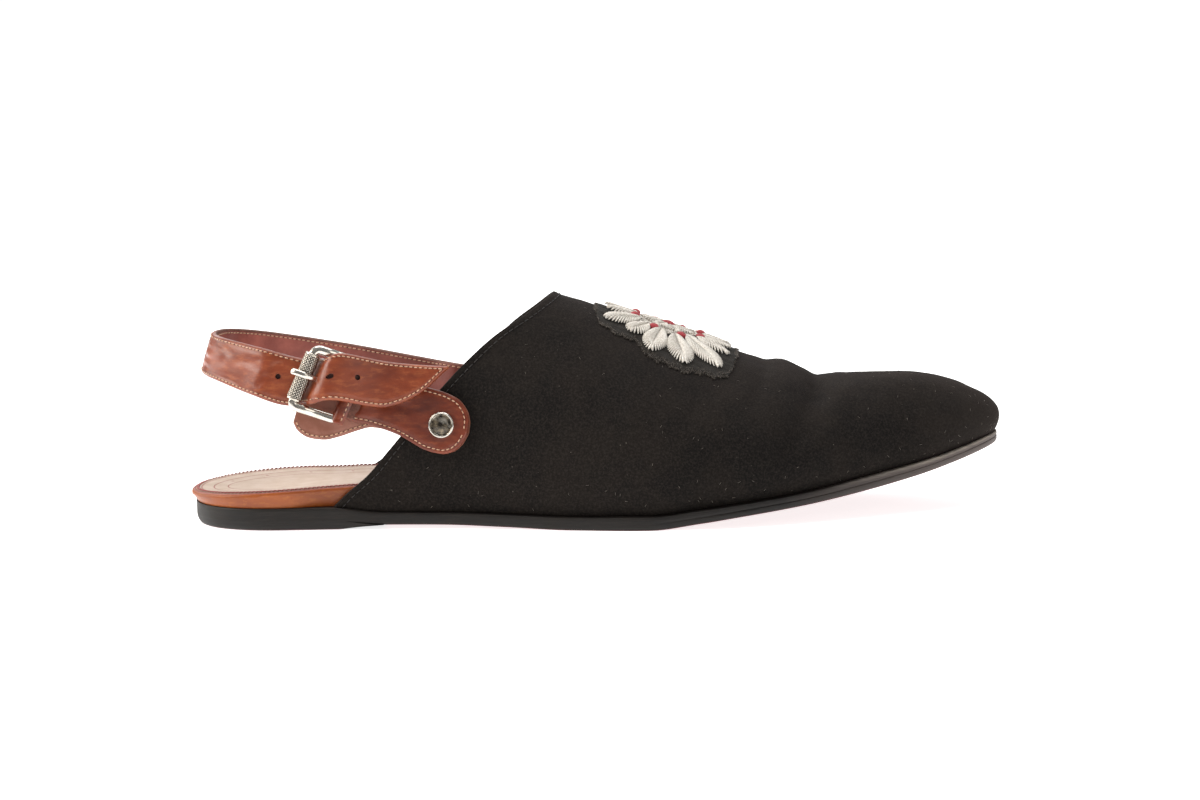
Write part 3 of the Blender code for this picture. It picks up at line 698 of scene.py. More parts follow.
def tube(path, radii, sides=10, up=(0, 0, 1), closed=False, flat=1.0, power=2.0):
    """Points and faces of a bar along a path; flat squeezes it along up and power squares it."""
    path = np.asarray(path, float)
    if closed:
        run = unit(np.roll(path, -1, axis=0) - np.roll(path, 1, axis=0))
    else:
        run = unit(np.gradient(path, axis=0))
    side = unit(np.cross(run, np.asarray(up, float)))
    top = np.cross(side, run)
    turn = np.arange(sides) * 2 * pi / sides
    c, s = np.cos(turn), np.sin(turn)
    c = np.sign(c) * np.abs(c) ** (2 / power)
    s = np.sign(s) * np.abs(s) ** (2 / power) * flat
    ring = side[:, None] * c[None, :, None] + top[:, None] * s[None, :, None]
    points = path[:, None] + ring * np.broadcast_to(radii, len(path))[:, None, None]
    if closed:
        points = np.concatenate([points, points[:1]])
        faces = list(quads(len(points), sides, around=True))
    else:
        faces = capped(len(points), sides)
    return points.reshape(-1, 3), faces


def joined_piece(name, parts, finish):
    """One piece from the points and faces of several meshes."""
    points, faces, done = [], [], 0
    for some_points, some_faces in parts:
        points.append(some_points)
        faces += [np.asarray(face) + done for face in some_faces]
        done += len(some_points)
    return make_piece(name, np.concatenate(points), faces, [finish])


# Materials.


def colour(hex_code):
    """Linear colour of an sRGB hex code."""
    parts = [int(hex_code[i : i + 2], 16) / 255 for i in (1, 3, 5)]
    return [p / 12.92 if p <= 0.04045 else ((p + 0.055) / 1.055) ** 2.4 for p in parts] + [1]


def add(tree, kind, inputs=None, **settings):
    """Adds a node with its settings and with values or other nodes' outputs as its inputs.
    It gives the node's outputs."""
    made = tree.nodes.new("ShaderNode" + kind)
    for name, value in settings.items():
        setattr(made, name, value)
    for key, value in (inputs or {}).items():
        if isinstance(value, bpy.types.NodeSocket):
            tree.links.new(value, made.inputs[key])
        else:
            made.inputs[key].default_value = value
    return made.outputs


def layered(tree, base, layers):
    """The colour base with colours laid over it. A layer is (field, low, high, first, last,
    colour): its share goes from first to last as the field goes from low to high."""
    for field, low, high, first, last, over in layers:
        share = add(tree, "MapRange", {0: field, 1: low, 2: high, 3: first, 4: last})[0]
        base = add(tree, "Mix", {0: share, 6: base, 7: over}, data_type="RGBA")[2]
    return base


def kept(name, build):
    """The material of that name. When it is first asked for, build is given its tree and the
    place on the object, and returns the inputs of its shader."""
    found = bpy.data.materials.get(name)
    if found:
        return found
    made = bpy.data.materials.new(name)
    made.use_nodes = True
    tree = made.node_tree
    shader = tree.nodes["Principled BSDF"]
    for key, value in build(tree, add(tree, "TexCoord")["Object"]).items():
        if isinstance(value, bpy.types.NodeSocket):
            tree.links.new(value, shader.inputs[key])
        else:
            shader.inputs[key].default_value = value
    return made


def buffed_suede(colours):
    """Split calf, dyed black-brown and buffed: a matt nap that lies a little lighter or darker
    where it was brushed, speckled with pale lint and paler at the toe with dust and a painted sheen."""

    def build(tree, place):
        # The fibres are about 0.05 mm thick, and are coarsened to 0.8 mm so that they show.
        nap = add(tree, "TexNoise", {"Vector": place, "Scale": 1250, "Detail": 5, "Roughness": 0.8})[0]
        wide = add(tree, "TexNoise", {"Vector": place, "Scale": 55, "Detail": 3, "Roughness": 0.6})[0]
        ahead = add(tree, "SeparateXYZ", {0: place})["X"]
        base = layered(tree, colours.suede_dark, (
            (wide, 0.4, 0.6, 0, 1, colours.suede),
            (nap, 0.44, 0.74, 0, 0.85, colours.suede_light),
            # Paler at the toe: partly dust, partly a painted sheen where the top light catches it.
            (ahead, 0.236, 0.272, 0, 0.5, colours.suede_dust_and_sheen),
        ))
        # Lint: one cell in 2.2 mm, of which a few hold a fleck of 0.3 to 0.5 mm.
        cells = add(tree, "TexVoronoi", {"Vector": place, "Scale": 455})
        tone = add(tree, "SeparateColor", {0: cells["Color"]})
        size = add(tree, "MapRange", {0: tone[0], 3: 0.04, 4: 0.12})[0]
        near = add(tree, "Math", {0: cells["Distance"], 1: size}, operation="LESS_THAN")[0]
        some = add(tree, "MapRange", {0: tone[1], 1: 0.7, 2: 1.0, 3: 0, 4: 0.4})[0]
        lint = add(tree, "Math", {0: near, 1: some}, operation="MULTIPLY")[0]
        base = add(tree, "Mix", {0: lint, 6: base, 7: colours.lint}, data_type="RGBA")[2]
        relief = add(tree, "Bump", {"Height": nap, "Distance": 0.2 * MM, "Strength": 0.7})[0]
        return {"Base Color": base, "Roughness": 0.95, "Specular IOR Level": 0.2, "Normal": relief,
                "Sheen Weight": 0.06, "Sheen Roughness": 0.5, "Sheen Tint": colour("#C9AFA8")}

    return kept("black_brown_buffed_suede", build)


def lining_leather(name, dark, light, front_shade):
    """Thin chrome-tanned calf, glued flesh to flesh: a low even shine with a fine pore grain,
    and a painted shade that darkens it towards the front."""

    def build(tree, place):
        wide = add(tree, "TexNoise", {"Vector": place, "Scale": 110, "Detail": 4, "Roughness": 0.6})[0]
        ahead = add(tree, "SeparateXYZ", {0: place})["X"]
        base = layered(tree, dark, (
            (wide, 0.35, 0.68, 0, 1, light),
            # Painted shade: the leather darkens towards the front.
            (ahead, 0.015, 0.06, 0, 0.6, front_shade),
        ))
        shine = add(tree, "MapRange", {0: wide, 1: 0.3, 2: 0.7, 3: 0.36, 4: 0.55})[0]
        pores = add(tree, "TexNoise", {"Vector": place, "Scale": 1250, "Detail": 3, "Roughness": 0.6})[0]
        relief = add(tree, "Bump", {"Height": pores, "Distance": 0.1 * MM, "Strength": 0.5})[0]
        return {"Base Color": base, "Roughness": shine, "Normal": relief}

    return kept(name, build)


def polished_calf(name, dark, middle, light):
    """Aniline calf, hand-polished with wax: see-through brown with darker clouds, burnished
    streaks, fine pores and a clear shine that breaks up where the hand has rubbed."""

    def build(tree, place):
        long_way = add(tree, "VectorMath", {0: place, 1: (0.5, 0.5, 1.5)}, operation="MULTIPLY")[0]
        wide = add(tree, "TexNoise", {"Vector": long_way, "Scale": 85, "Detail": 4, "Roughness": 0.6})[0]
        fine = add(tree, "TexNoise", {"Vector": long_way, "Scale": 420, "Detail": 4, "Roughness": 0.65})[0]
        # Hair pores, drawn 0.7 mm apart so that they show.
        pores = add(tree, "TexVoronoi", {"Vector": place, "Scale": 1430})["Distance"]
        base = layered(tree, dark, (
            (wide, 0.34, 0.66, 0, 1, middle),
            (fine, 0.5, 0.75, 0, 0.5, light),
            (pores, 0.0, 0.28, 0.35, 0, dark),
        ))
        shine = add(tree, "MapRange", {0: fine, 1: 0.3, 2: 0.7, 3: 0.3, 4: 0.48})[0]
        folds = add(tree, "Bump", {"Height": fine, "Distance": 0.1 * MM, "Strength": 0.4})[0]
        relief = add(tree, "Bump", {"Height": pores, "Distance": 0.05 * MM, "Strength": 0.4,
                                    "Normal": folds})[0]
        return {"Base Color": base, "Roughness": shine, "Normal": relief, "Coat Weight": 0.25,
                "Coat Roughness": 0.25}

    return kept(name, build)


def cut_edge(colours):
    """Raw leather edge, painted with brown edge ink and rubbed: darker, with its layers."""

    def build(tree, place):
        layers = add(tree, "TexNoise", {"Vector": place, "Scale": 830, "Detail": 4, "Roughness": 0.7})[0]
        base = layered(tree, colours.edge_dark, ((layers, 0.35, 0.7, 0, 1, colours.edge),))
        relief = add(tree, "Bump", {"Height": layers, "Distance": 0.15 * MM, "Strength": 0.6})[0]
        return {"Base Color": base, "Roughness": 0.55, "Normal": relief}

    return kept("inked_leather_edge", build)


def tan_leather(colours):
    """Vegetable-tanned bend, aniline dyed tan: warm clouds, short scratches, a soft shine."""

    def build(tree, place):
        long_way = add(tree, "VectorMath", {0: place, 1: (0.5, 0.5, 1.4)}, operation="MULTIPLY")[0]
        wide = add(tree, "TexNoise", {"Vector": long_way, "Scale": 80, "Detail": 4, "Roughness": 0.6})[0]
        fine = add(tree, "TexNoise", {"Vector": long_way, "Scale": 720, "Detail": 5, "Roughness": 0.65})[0]
        spots = add(tree, "TexVoronoi", {"Vector": place, "Scale": 200})["Distance"]
        base = layered(tree, colours.tan_dark, (
            (wide, 0.32, 0.68, 0, 1, colours.tan),
            (fine, 0.52, 0.8, 0, 0.5, colours.tan_light),
            (spots, 0.03, 0.1, 0.5, 0, colours.tan_dark),
        ))
        relief = add(tree, "Bump", {"Height": fine, "Distance": 0.12 * MM, "Strength": 0.5})[0]
        return {"Base Color": base, "Roughness": 0.42, "Normal": relief, "Coat Weight": 0.06,
                "Coat Roughness": 0.25}

    return kept("tan_bend_leather", build)


def sock_leather(colours):
    """Thin drum-dyed sheep leather, pale beige-pink: matt, nearly even, with tooled contour
    lines round the heel, a row of pricked dots between two of them and a rosy border."""

    def build(tree, place):
        edge = add(tree, "Attribute", attribute_name="inset")["Fac"]
        run = add(tree, "Attribute", attribute_name="run")["Fac"]
        wide = add(tree, "TexNoise", {"Vector": place, "Scale": 140, "Detail": 4, "Roughness": 0.6})[0]
        marks = 0.0
        for middle, half in ((3.7, 0.3), (8.2, 0.3), (13.4, 0.28)):
            away = add(tree, "Math", {0: edge, 1: middle}, operation="SUBTRACT")[0]
            away = add(tree, "Math", {0: away}, operation="ABSOLUTE")[0]
            line = add(tree, "MapRange", {0: away, 1: half * 0.4, 2: half, 3: 1, 4: 0})[0]
            marks = add(tree, "Math", {0: line, 1: marks}, operation="MAXIMUM")[0]
        # Pricked dots 9 mm apart along the row and 0.6 mm across.
        beside = add(tree, "Math", {0: run, 1: 9.0}, operation="PINGPONG")[0]
        above = add(tree, "Math", {0: edge, 1: 10.4}, operation="SUBTRACT")[0]
        spot = add(tree, "CombineXYZ", {0: beside, 1: above})[0]
        away = add(tree, "VectorMath", {0: spot}, operation="LENGTH")["Value"]
        dots = add(tree, "MapRange", {0: away, 1: 0.4, 2: 0.7, 3: 1, 4: 0})[0]
        marks = add(tree, "Math", {0: marks, 1: dots}, operation="MAXIMUM")[0]
        base = layered(tree, colours.sock, (
            (wide, 0.35, 0.65, 0, 1, colours.sock_light),
            (edge, 2.0, 3.0, 0.4, 0, colours.sock_line),
            (marks, 0, 1, 0, 0.8, colours.sock_line),
        ))
        pores = add(tree, "TexNoise", {"Vector": place, "Scale": 1100, "Detail": 3, "Roughness": 0.6})[0]
        grain = add(tree, "Bump", {"Height": pores, "Distance": 0.06 * MM, "Strength": 0.5})[0]
        flat = add(tree, "Math", {0: 1.0, 1: marks}, operation="SUBTRACT")[0]
        relief = add(tree, "Bump", {"Height": flat, "Distance": 0.25 * MM, "Strength": 0.8,
                                    "Normal": grain})[0]
        return {"Base Color": base, "Roughness": 0.62, "Specular IOR Level": 0.35, "Normal": relief}

    return kept("beige_sheep_sock", build)


def sole_edge(colours):
    """Leather sole edge, trimmed, inked black and waxed with a hot iron: a satin shine drawn
    out in fine lines along the edge, and a painted highlight on the welt's upper corner at the toe."""

    def build(tree, place):
        long_way = add(tree, "VectorMath", {0: place, 1: (0.12, 0.12, 2.2)}, operation="MULTIPLY")[0]
        lines = add(tree, "TexNoise", {"Vector": long_way, "Scale": 900, "Detail": 4, "Roughness": 0.65})[0]
        wide = add(tree, "TexNoise", {"Vector": place, "Scale": 70, "Detail": 3, "Roughness": 0.6})[0]
        ahead = add(tree, "SeparateXYZ", {0: place})["X"]
        # The welt field marks where a painted highlight lies on the welt's upper corner at the toe.
        welt = add(tree, "Attribute", attribute_name="welt")["Fac"]
        broken = add(tree, "MapRange", {0: lines, 1: 0.3, 2: 0.6})[0]
        # The painted highlight, broken along the fine lines.
        rubbed = add(tree, "Math", {0: welt, 1: broken}, operation="MULTIPLY")[0]
        base = layered(tree, colours.sole_dark, (
            (wide, 0.32, 0.7, 0, 1, colours.sole),
            (lines, 0.5, 0.8, 0, 0.4, colours.sole_worn),
            # Paler towards the toe: partly scuffed ink, partly painted light bounced up from the floor.
            (ahead, 0.19, 0.268, 0, 0.75, colours.sole_scuff_and_floor_light),
            (rubbed, 0, 1, 0, 1, colours.welt),
        ))
        shine = add(tree, "MapRange", {0: wide, 1: 0.3, 2: 0.7, 3: 0.45, 4: 0.62})[0]
        relief = add(tree, "Bump", {"Height": lines, "Distance": 0.1 * MM, "Strength": 0.5})[0]
        return {"Base Color": base, "Roughness": shine, "Specular IOR Level": 0.3, "Normal": relief}

    return kept("inked_sole_edge", build)


def sole_under(colours):
    """The walking side: oak-bark leather stained oxblood, with scratches and a dull wax."""

    def build(tree, place):
        long_way = add(tree, "VectorMath", {0: place, 1: (0.3, 1.0, 1.0)}, operation="MULTIPLY")[0]
        cuts = add(tree, "TexNoise", {"Vector": long_way, "Scale": 500, "Detail": 5, "Roughness": 0.7})[0]
        base = layered(tree, colours.oxblood, ((cuts, 0.35, 0.7, 0, 1, colours.oxblood_light),))
        relief = add(tree, "Bump", {"Height": cuts, "Distance": 0.15 * MM, "Strength": 0.5})[0]
        return {"Base Color": base, "Roughness": 0.55, "Normal": relief}

    return kept("oxblood_sole_leather", build)


def polished_nickel(colours):
    """Cast zinc, tumbled and plated with bright nickel: a clear mirror with soft hairlines."""

    def build(tree, place):
        wear = add(tree, "TexNoise", {"Vector": place, "Scale": 400, "Detail": 4, "Roughness": 0.6})[0]
        base = layered(tree, colours.nickel, ((wear, 0.35, 0.7, 0, 1, colours.nickel_warm),))
        shine = add(tree, "MapRange", {0: wear, 1: 0.3, 2: 0.75, 3: 0.1, 4: 0.24})[0]
        hair = add(tree, "TexNoise", {"Vector": place, "Scale": 1100, "Detail": 3})[0]
        relief = add(tree, "Bump", {"Height": hair, "Distance": 0.02 * MM, "Strength": 0.2})[0]
        return {"Base Color": base, "Metallic": 1.0, "Roughness": shine, "Normal": relief}

    return kept("bright_nickel_plate", build)


def knurled_nickel(colours):
    """The roller's nickel: its cut grooves hold a dark patina and only the crests shine."""

    def build(tree, _):
        crest = add(tree, "Attribute", attribute_name="crest")["Fac"]
        base = layered(tree, colours.nickel_dark, ((crest, 0.35, 0.8, 0, 1, colours.nickel_warm),))
        shine = add(tree, "MapRange", {0: crest, 1: 0.1, 2: 0.9, 3: 0.5, 4: 0.22})[0]
        return {"Base Color": base, "Metallic": 1.0, "Roughness": shine}

    return kept("knurled_nickel_plate", build)


def dark_nickel(colours):
    """The rivet's middle: nickel blackened in an antique bath and lacquered, so that it is
    mottled under a clear shine."""

    def build(tree, place):
        mottle = add(tree, "TexNoise", {"Vector": place, "Scale": 520, "Detail": 5, "Roughness": 0.7})[0]
        wide = add(tree, "TexNoise", {"Vector": place, "Scale": 210, "Detail": 2})[0]
        base = layered(tree, colours.nickel_dark, (
            (mottle, 0.38, 0.66, 0, 1, colours.nickel_brown),
            (wide, 0.56, 0.68, 0, 0.7, colours.nickel_warm),
        ))
        shine = add(tree, "MapRange", {0: mottle, 1: 0.3, 2: 0.7, 3: 0.18, 4: 0.42})[0]
        relief = add(tree, "Bump", {"Height": mottle, "Distance": 0.12 * MM, "Strength": 0.7})[0]
        return {"Base Color": base, "Metallic": 0.9, "Roughness": shine, "Normal": relief,
                "Coat Weight": 0.5, "Coat Roughness": 0.08}

    return kept("blackened_nickel", build)


def thread_finish(name, shade, dark):
    """Waxed three-strand polyester thread: a satin cord with its twist just showing."""

    def build(tree, place):
        strands = add(tree, "TexNoise", {"Vector": place, "Scale": 2000, "Detail": 2})[0]
        base = layered(tree, shade, ((strands, 0.35, 0.7, 0, 1, dark),))
        relief = add(tree, "Bump", {"Height": strands, "Distance": 0.06 * MM, "Strength": 0.6})[0]
        return {"Base Color": base, "Roughness": 0.48, "Sheen Weight": 0.1, "Normal": relief}

    return kept(name, build)


def wool_felt(colours):
    """Pressed wool felt, charcoal, cut by hand: fully matt, cloudy, with loose fibres."""

    def build(tree, place):
        # The fibres are 0.02 mm thick, and are coarsened to 0.7 mm so that they show.
        fibres = add(tree, "TexNoise", {"Vector": place, "Scale": 1430, "Detail": 5, "Roughness": 0.75})[0]
        base = layered(tree, colours.felt_dark, ((fibres, 0.35, 0.7, 0, 1, colours.felt),))
        relief = add(tree, "Bump", {"Height": fibres, "Distance": 0.35 * MM, "Strength": 0.9})[0]
        return {"Base Color": base, "Roughness": 1.0, "Specular IOR Level": 0.1, "Normal": relief,
                "Sheen Weight": 0.1, "Sheen Roughness": 0.6}

    return kept("charcoal_wool_felt", build)


def bullion(name, shade, dark, metallic, roughness):
    """Embroidery thread laid in satin stitch: a soft lustre along each strand."""

    def build(tree, place):
        strands = add(tree, "TexNoise", {"Vector": place, "Scale": 1700, "Detail": 2})[0]
        base = layered(tree, dark, ((strands, 0.3, 0.75, 0, 1, shade),))
        relief = add(tree, "Bump", {"Height": strands, "Distance": 0.05 * MM, "Strength": 0.5})[0]
        return {"Base Color": base, "Metallic": metallic, "Roughness": roughness, "Normal": relief,
                "Sheen Weight": 0.15}

    return kept(name, build)


def lit_acrylic(colours):
    """The stage's floor: opal acrylic lit from below, so that it reads as plain white."""

    def build(tree, place):
        cloud = add(tree, "TexNoise", {"Vector": place, "Scale": 1.7, "Detail": 2})[0]
        base = add(tree, "Mix", {0: cloud, 6: colours.floor, 7: colours.floor_light}, data_type="RGBA")[2]
        return {"Base Color": base, "Roughness": 0.7, "Specular IOR Level": 0.1,
                "Emission Color": (1, 1, 1, 1), "Emission Strength": 0.8}

    return kept("opal_acrylic", build)


# What a user would change.


def shade(label, hex_code, description):
    return bpy.props.FloatVectorProperty(
        name=label, description=description, subtype="COLOR", size=4, min=0, max=1,
        default=colour(hex_code),
    )


def size(label, millimetres, description):
    return bpy.props.FloatProperty(
        name=label, description=description, unit="LENGTH", min=0, default=millimetres * MM,
        precision=5,
    )


class MuleColours(bpy.types.PropertyGroup):
    """The shoe's colours."""

    suede: shade("Suede", "#15110E", "The vamp's nap, brushed one way")
    suede_dark: shade("Suede, dark", "#0B0908", "The nap brushed the other way")
    suede_light: shade("Suede fibres", "#2F2A26", "Tips of the nap that catch the light")
    # Partly dust and partly a painted sheen: the nap paler at the toe.
    suede_dust_and_sheen: shade("Suede, worn", "#312B27", "The nap rubbed paler at the toe")
    lint: shade("Lint", "#7A736A", "Pale flecks caught in the nap")
    vamp_lining: shade("Vamp lining", "#3A2B22", "Leather inside the vamp")
    vamp_lining_dark: shade("Vamp lining, dark", "#281D17", "Its darker clouds")
    lining: shade("Strap lining", "#B5685C", "Leather inside the strap")
    lining_dark: shade("Strap lining, dark", "#904C43", "Its darker clouds")
    # Painted shade: the lining's front end, darkened where the strap's tail shades it.
    lining_front_shade: shade("Strap lining, front", "#5E2219", "Its unrubbed front end")
    cognac: shade("Cognac", "#8C3E1C", "The strap's leather")
    cognac_dark: shade("Cognac, dark", "#682811", "Its burnished clouds and pores")
    cognac_light: shade("Cognac, light", "#B0602E", "Its rubbed streaks")
    # Partly a darker, redder hide and partly painted shade from the strap's tail over the tab.
    russet_and_shade: shade("Russet", "#7C3010", "The tab's leather, darker than the strap's")
    russet_dark: shade("Russet, dark", "#4E1908", "Its burnished clouds and pores")
    russet_light: shade("Russet, light", "#98481E", "Its rubbed streaks")
    edge: shade("Cut edge", "#7E4A38", "Inked edge of the leather")
    edge_dark: shade("Cut edge, dark", "#5A3226", "Its darker layers")
    tan: shade("Tan", "#9E4E0E", "The strip round the footbed")
    tan_dark: shade("Tan, dark", "#7E3808", "Its darker clouds")
    tan_light: shade("Tan, light", "#BC7022", "Its rubbed scratches")
    sock: shade("Sock", "#BCA896", "The leather underfoot")
    sock_light: shade("Sock, light", "#C8B7A9", "Its paler clouds")
    sock_line: shade("Sock line", "#9C5450", "Tooled lines and the rosy border")
    sole: shade("Sole edge", "#1D1916", "Inked edge of the sole")
    sole_dark: shade("Sole edge, dark", "#131110", "Its darker patches")
    sole_worn: shade("Sole edge, worn", "#37312C", "Fine rubbed lines along the edge")
    # Partly scuffed ink and partly painted light bounced up from the floor at the toe.
    sole_scuff_and_floor_light: shade("Sole edge, scraped", "#6E6460", "Where the toe has rubbed the ink off")
    # Painted highlight: the welt's pale upper corner at the toe.
    welt: shade("Welt", "#948B81", "The welt's rubbed upper corner at the toe")
    lobe: shade("Lobe", "#9C6858", "The smooth leather of the tab's under layer")
    lobe_dark: shade("Lobe, dark", "#82503F", "Its darker clouds")
    oxblood: shade("Oxblood", "#57222A", "The walking side")
    oxblood_light: shade("Oxblood, scratched", "#7C3C3C", "Its scratches")
    nickel: shade("Nickel", "#D8D3CB", "The buckle")
    nickel_warm: shade("Nickel, warm", "#CFC8BC", "Its warmer clouds")
    nickel_dark: shade("Nickel, dark", "#2A2520", "Patina in the grooves")
    nickel_brown: shade("Nickel, brown", "#857864", "The rivet's mottled middle")
    thread: shade("Thread", "#DDB798", "Stitching of the strap and tab")
    thread_dark: shade("Thread, dark", "#AE7E5C", "The thread's twist")
    thread_collar: shade("Collar thread", "#211D1A", "Stitching of the collar")
    # Painted shade: the dark of the needle holes and of the discs in the punched holes.
    hole_shade: shade("Needle hole", "#43221A", "Holes between the stitches")
    felt: shade("Felt", "#2D2720", "The ornament's backing")
    felt_dark: shade("Felt, dark", "#161412", "Its shaded fibres")
    fuzz: shade("Felt fibres", "#5C5248", "Loose fibres along the felt's cut edge")
    silver: shade("Silver thread", "#F5F1EA", "The ornament's leaves")
    silver_dark: shade("Silver thread, dark", "#C2B9AB", "Its shaded strands")
    red: shade("Red thread", "#C93C44", "The ornament's knots")
    red_dark: shade("Red thread, dark", "#8F222A", "Their shaded strands")
    floor: shade("Floor", "#E4E4E4", "The stage")
    floor_light: shade("Floor, light", "#EDEDED", "Its paler clouds")


class MuleSizes(bpy.types.PropertyGroup):
    """The shoe's small sizes."""

    stitch_length: size("Stitch", 1.2, "Length of a stitch on the strap")
    stitch_gap: size("Stitch gap", 0.6, "Room between two stitches")
    stitch_inset: size("Stitch inset", 1.2, "From the leather's edge to the row")
    thread_radius: size("Thread", 0.21, "Radius of the thread")
    collar_stitch: size("Collar stitch", 1.9, "Length of a stitch on the collar")
    collar_inset: size("Collar inset", 2.2, "From the collar's edge to its row")
    pinking: size("Pinking", 1.6, "Pitch of the sock's pinked edge")
    pinking_depth: size("Pinking depth", 1.1, "Depth of the sock's pinked edge")
    knurl: size("Knurl", 1.15, "Pitch of the roller's knurling")
    knurl_depth: size("Knurl depth", 0.32, "Depth of the roller's knurling")
    satin: size("Satin pitch", 1.0, "Room for each thread of the embroidery")


# Pieces of the sole.


def slab(name, loops, finishes, kinds=0, under=0, fields=None):
    """A closed piece from loops of side pairs, bottom to top. kinds are the finishes of its
    side's faces and under that of its underside."""
    rings = np.stack([np.concatenate([left, right[::-1]]) for left, right in loops])
    rows, columns = rings.shape[:2]
    faces = list(quads(rows, columns, around=True))
    slots = list(np.broadcast_to(kinds, (rows - 1, columns)).ravel())
    for row in (0, rows - 1):
        numbers = row * columns + np.arange(columns)
        for i in range(columns // 2 - 1):
            faces.append((numbers[i], numbers[i + 1], numbers[-2 - i], numbers[-1 - i]))
            slots.append(under if row == 0 else 0)
    piece = make_piece(name, rings, faces, finishes, slots, fields, sharp=True)
    weld(piece)
    return piece


def smooth_step(value, start, end):
    share = np.clip((value - start) / (end - start), 0, 1)
    return share * share * (3 - 2 * share)


# The sole's edge from the floor side up: share of the thickness, how far the corner is
# rounded off in front of the heel, and how deep the line between sole and welt is.
SOLE_EDGE = (
    (0.0, 1.0, 0.0),
    (0.05, 0.55, 0.0),
    (0.13, 0.2, 0.0),
    (0.25, 0.02, 0.0),
    (0.4, 0.0, 0.0),
    (0.49, 0.0, 0.04),
    (0.53, 0.0, 0.3),
    (0.57, 0.0, 0.34),
    (0.61, 0.0, 0.06),
    (0.7, 0.0, 0.0),
    (0.86, 0.05, 0.0),
    (0.94, 0.18, 0.0),
    (0.985, 0.4, 0.0),
    (1.0, 0.65, 0.0),
)


class MULE_OT_sole(bpy.types.Operator):
    """Build the outsole with its welt line, and the thin lift under the heel"""

    bl_idname = "mule.sole"
    bl_label = "Sole and heel lift"

    def execute(self, context):
        colours = context.scene.mule_colours
        finishes = [sole_edge(colours), sole_under(colours)]
        loops = []
        for share, corner, line in SOLE_EDGE:
            lower = share < 0.4

            def inset(along, corner=corner, line=line, lower=lower):
                front = smooth_step(along, HEEL_LENGTH, HEEL_LENGTH + HEEL_SKIVE)
                worn = 0.9 * MM * corner * (front if lower else 1)
                return worn + line * MM * smooth_step(along, 165 * MM, 215 * MM)

            def height(along, share=share):
                return SOLE("bottom", along) + SOLE("thick", along) * share

            tip = LENGTH - (0.6 * corner + line) * MM
            loops.append(sole_loop(height, 0, tip=tip, extra=inset, steps=260))
        along = np.concatenate([loops[0][0], loops[0][1][::-1]])[:, 0] + HEEL_MIDDLE
        kinds = np.zeros((len(SOLE_EDGE) - 1, len(along)), int)
        kinds[0] = along > HEEL_LENGTH + HEEL_SKIVE
        share = np.array([row[0] for row in SOLE_EDGE])[:, None]
        # Painted highlight: the welt's upper corner at the toe, where light from above catches it.
        rubbed = smooth_step(share, 0.7, 0.9) * smooth_step(along, 228 * MM, 288 * MM)
        outsole = slab("outsole_edge_trimmed", loops, finishes, kinds, 1,
                       {"welt": rubbed})
        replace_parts(outsole, "outsole")

        loops = []
        for share, inset in ((0, 1.9), (0.08, 1.35), (0.22, 0.9), (0.45, 0.42), (0.72, 0.12), (1, 0)):

            def height(along, share=share):
                return SOLE("bottom", along) * share

            end = HEEL_LENGTH + HEEL_SKIVE * share**0.8
            loops.append(sole_loop(height, inset * MM, end=end, steps=140))
        kinds = np.array([1, 0, 0, 0, 0])[:, None]
        lift = slab("heel_lift_trimmed", loops, finishes, kinds, 1)
        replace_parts(lift, "heel_lift")
        return {"FINISHED"}


# The footbed from the sole up to its rim and in over the top: share of the way up, drop
# below the rim, inset from the rim's line and distance from the back.
FOOTBED_SIDE = (
    (0.0, 0.0, 0.9, 1.3),
    (0.25, 0.0, 0.55, 0.85),
    (0.5, 0.0, 0.3, 0.5),
    (0.75, 0.0, 0.1, 0.2),
    (1.0, 1.3, 0.0, 0.0),
    (1.0, 0.7, 0.02, 0.0),
    (1.0, 0.3, 0.15, 0.0),
    (1.0, 0.08, 0.4, 0.0),
    (1.0, 0.0, 0.8, 0.0),
    (1.0, 0.12, 1.6, 0.0),
    (1.0, 0.9, 3.5, 0.0),
    (1.0, 2.6, 12.0, 0.0),
)
FOOTBED_TIP = 292.8 * MM
CUP = Table("inset drop", ((0, 0.02), (0.8, 0), (3.5, 0.4), (12, 1.2), (30, 1.9)))
SOCK_RINGS = (1.35, 1.4, 1.9, 2.4, 3.0, 3.6, 4.4, 5.4, 6.6, 8.0, 9.4, 10.6, 12.0, 13.2, 15.0,
              17.5, 20.5, 24.0, 27.0)
SOCK_THICK = 0.55 * MM
SOCK_STEPS = 900
SOCK_PEAKS = 1.4 * MM  # inset of the pinked edge's peaks
# The piping beside the sock, and the slanted stitches that hold the sock down.
PIPING_INSET = 1.0 * MM
PIPING_DROP = 0.18 * MM
PIPING_RADIUS = 0.34 * MM
SOCK_STITCH_INSET = 2.3 * MM
SOCK_STITCH = 1.7 * MM
SOCK_STITCH_RADIUS = 0.28 * MM
THREAD_ARCH = 0.14 * MM  # how high the middle of a stitch stands over its ends


def footbed_inset(along):
    return FOOTBED("inset", along)


def footbed_ring(inset, lift, steps):
    """Closed ring over the footbed's top, in from its rim by inset and lifted off it."""

    def height(along):
        return FOOTBED("rim", along) - CUP("drop", inset) + lift

    left, right = sole_loop(
        height, inset, back=0.0, tip=FOOTBED_TIP, extra=footbed_inset, steps=steps
    )
    return np.concatenate([left, right[::-1]])


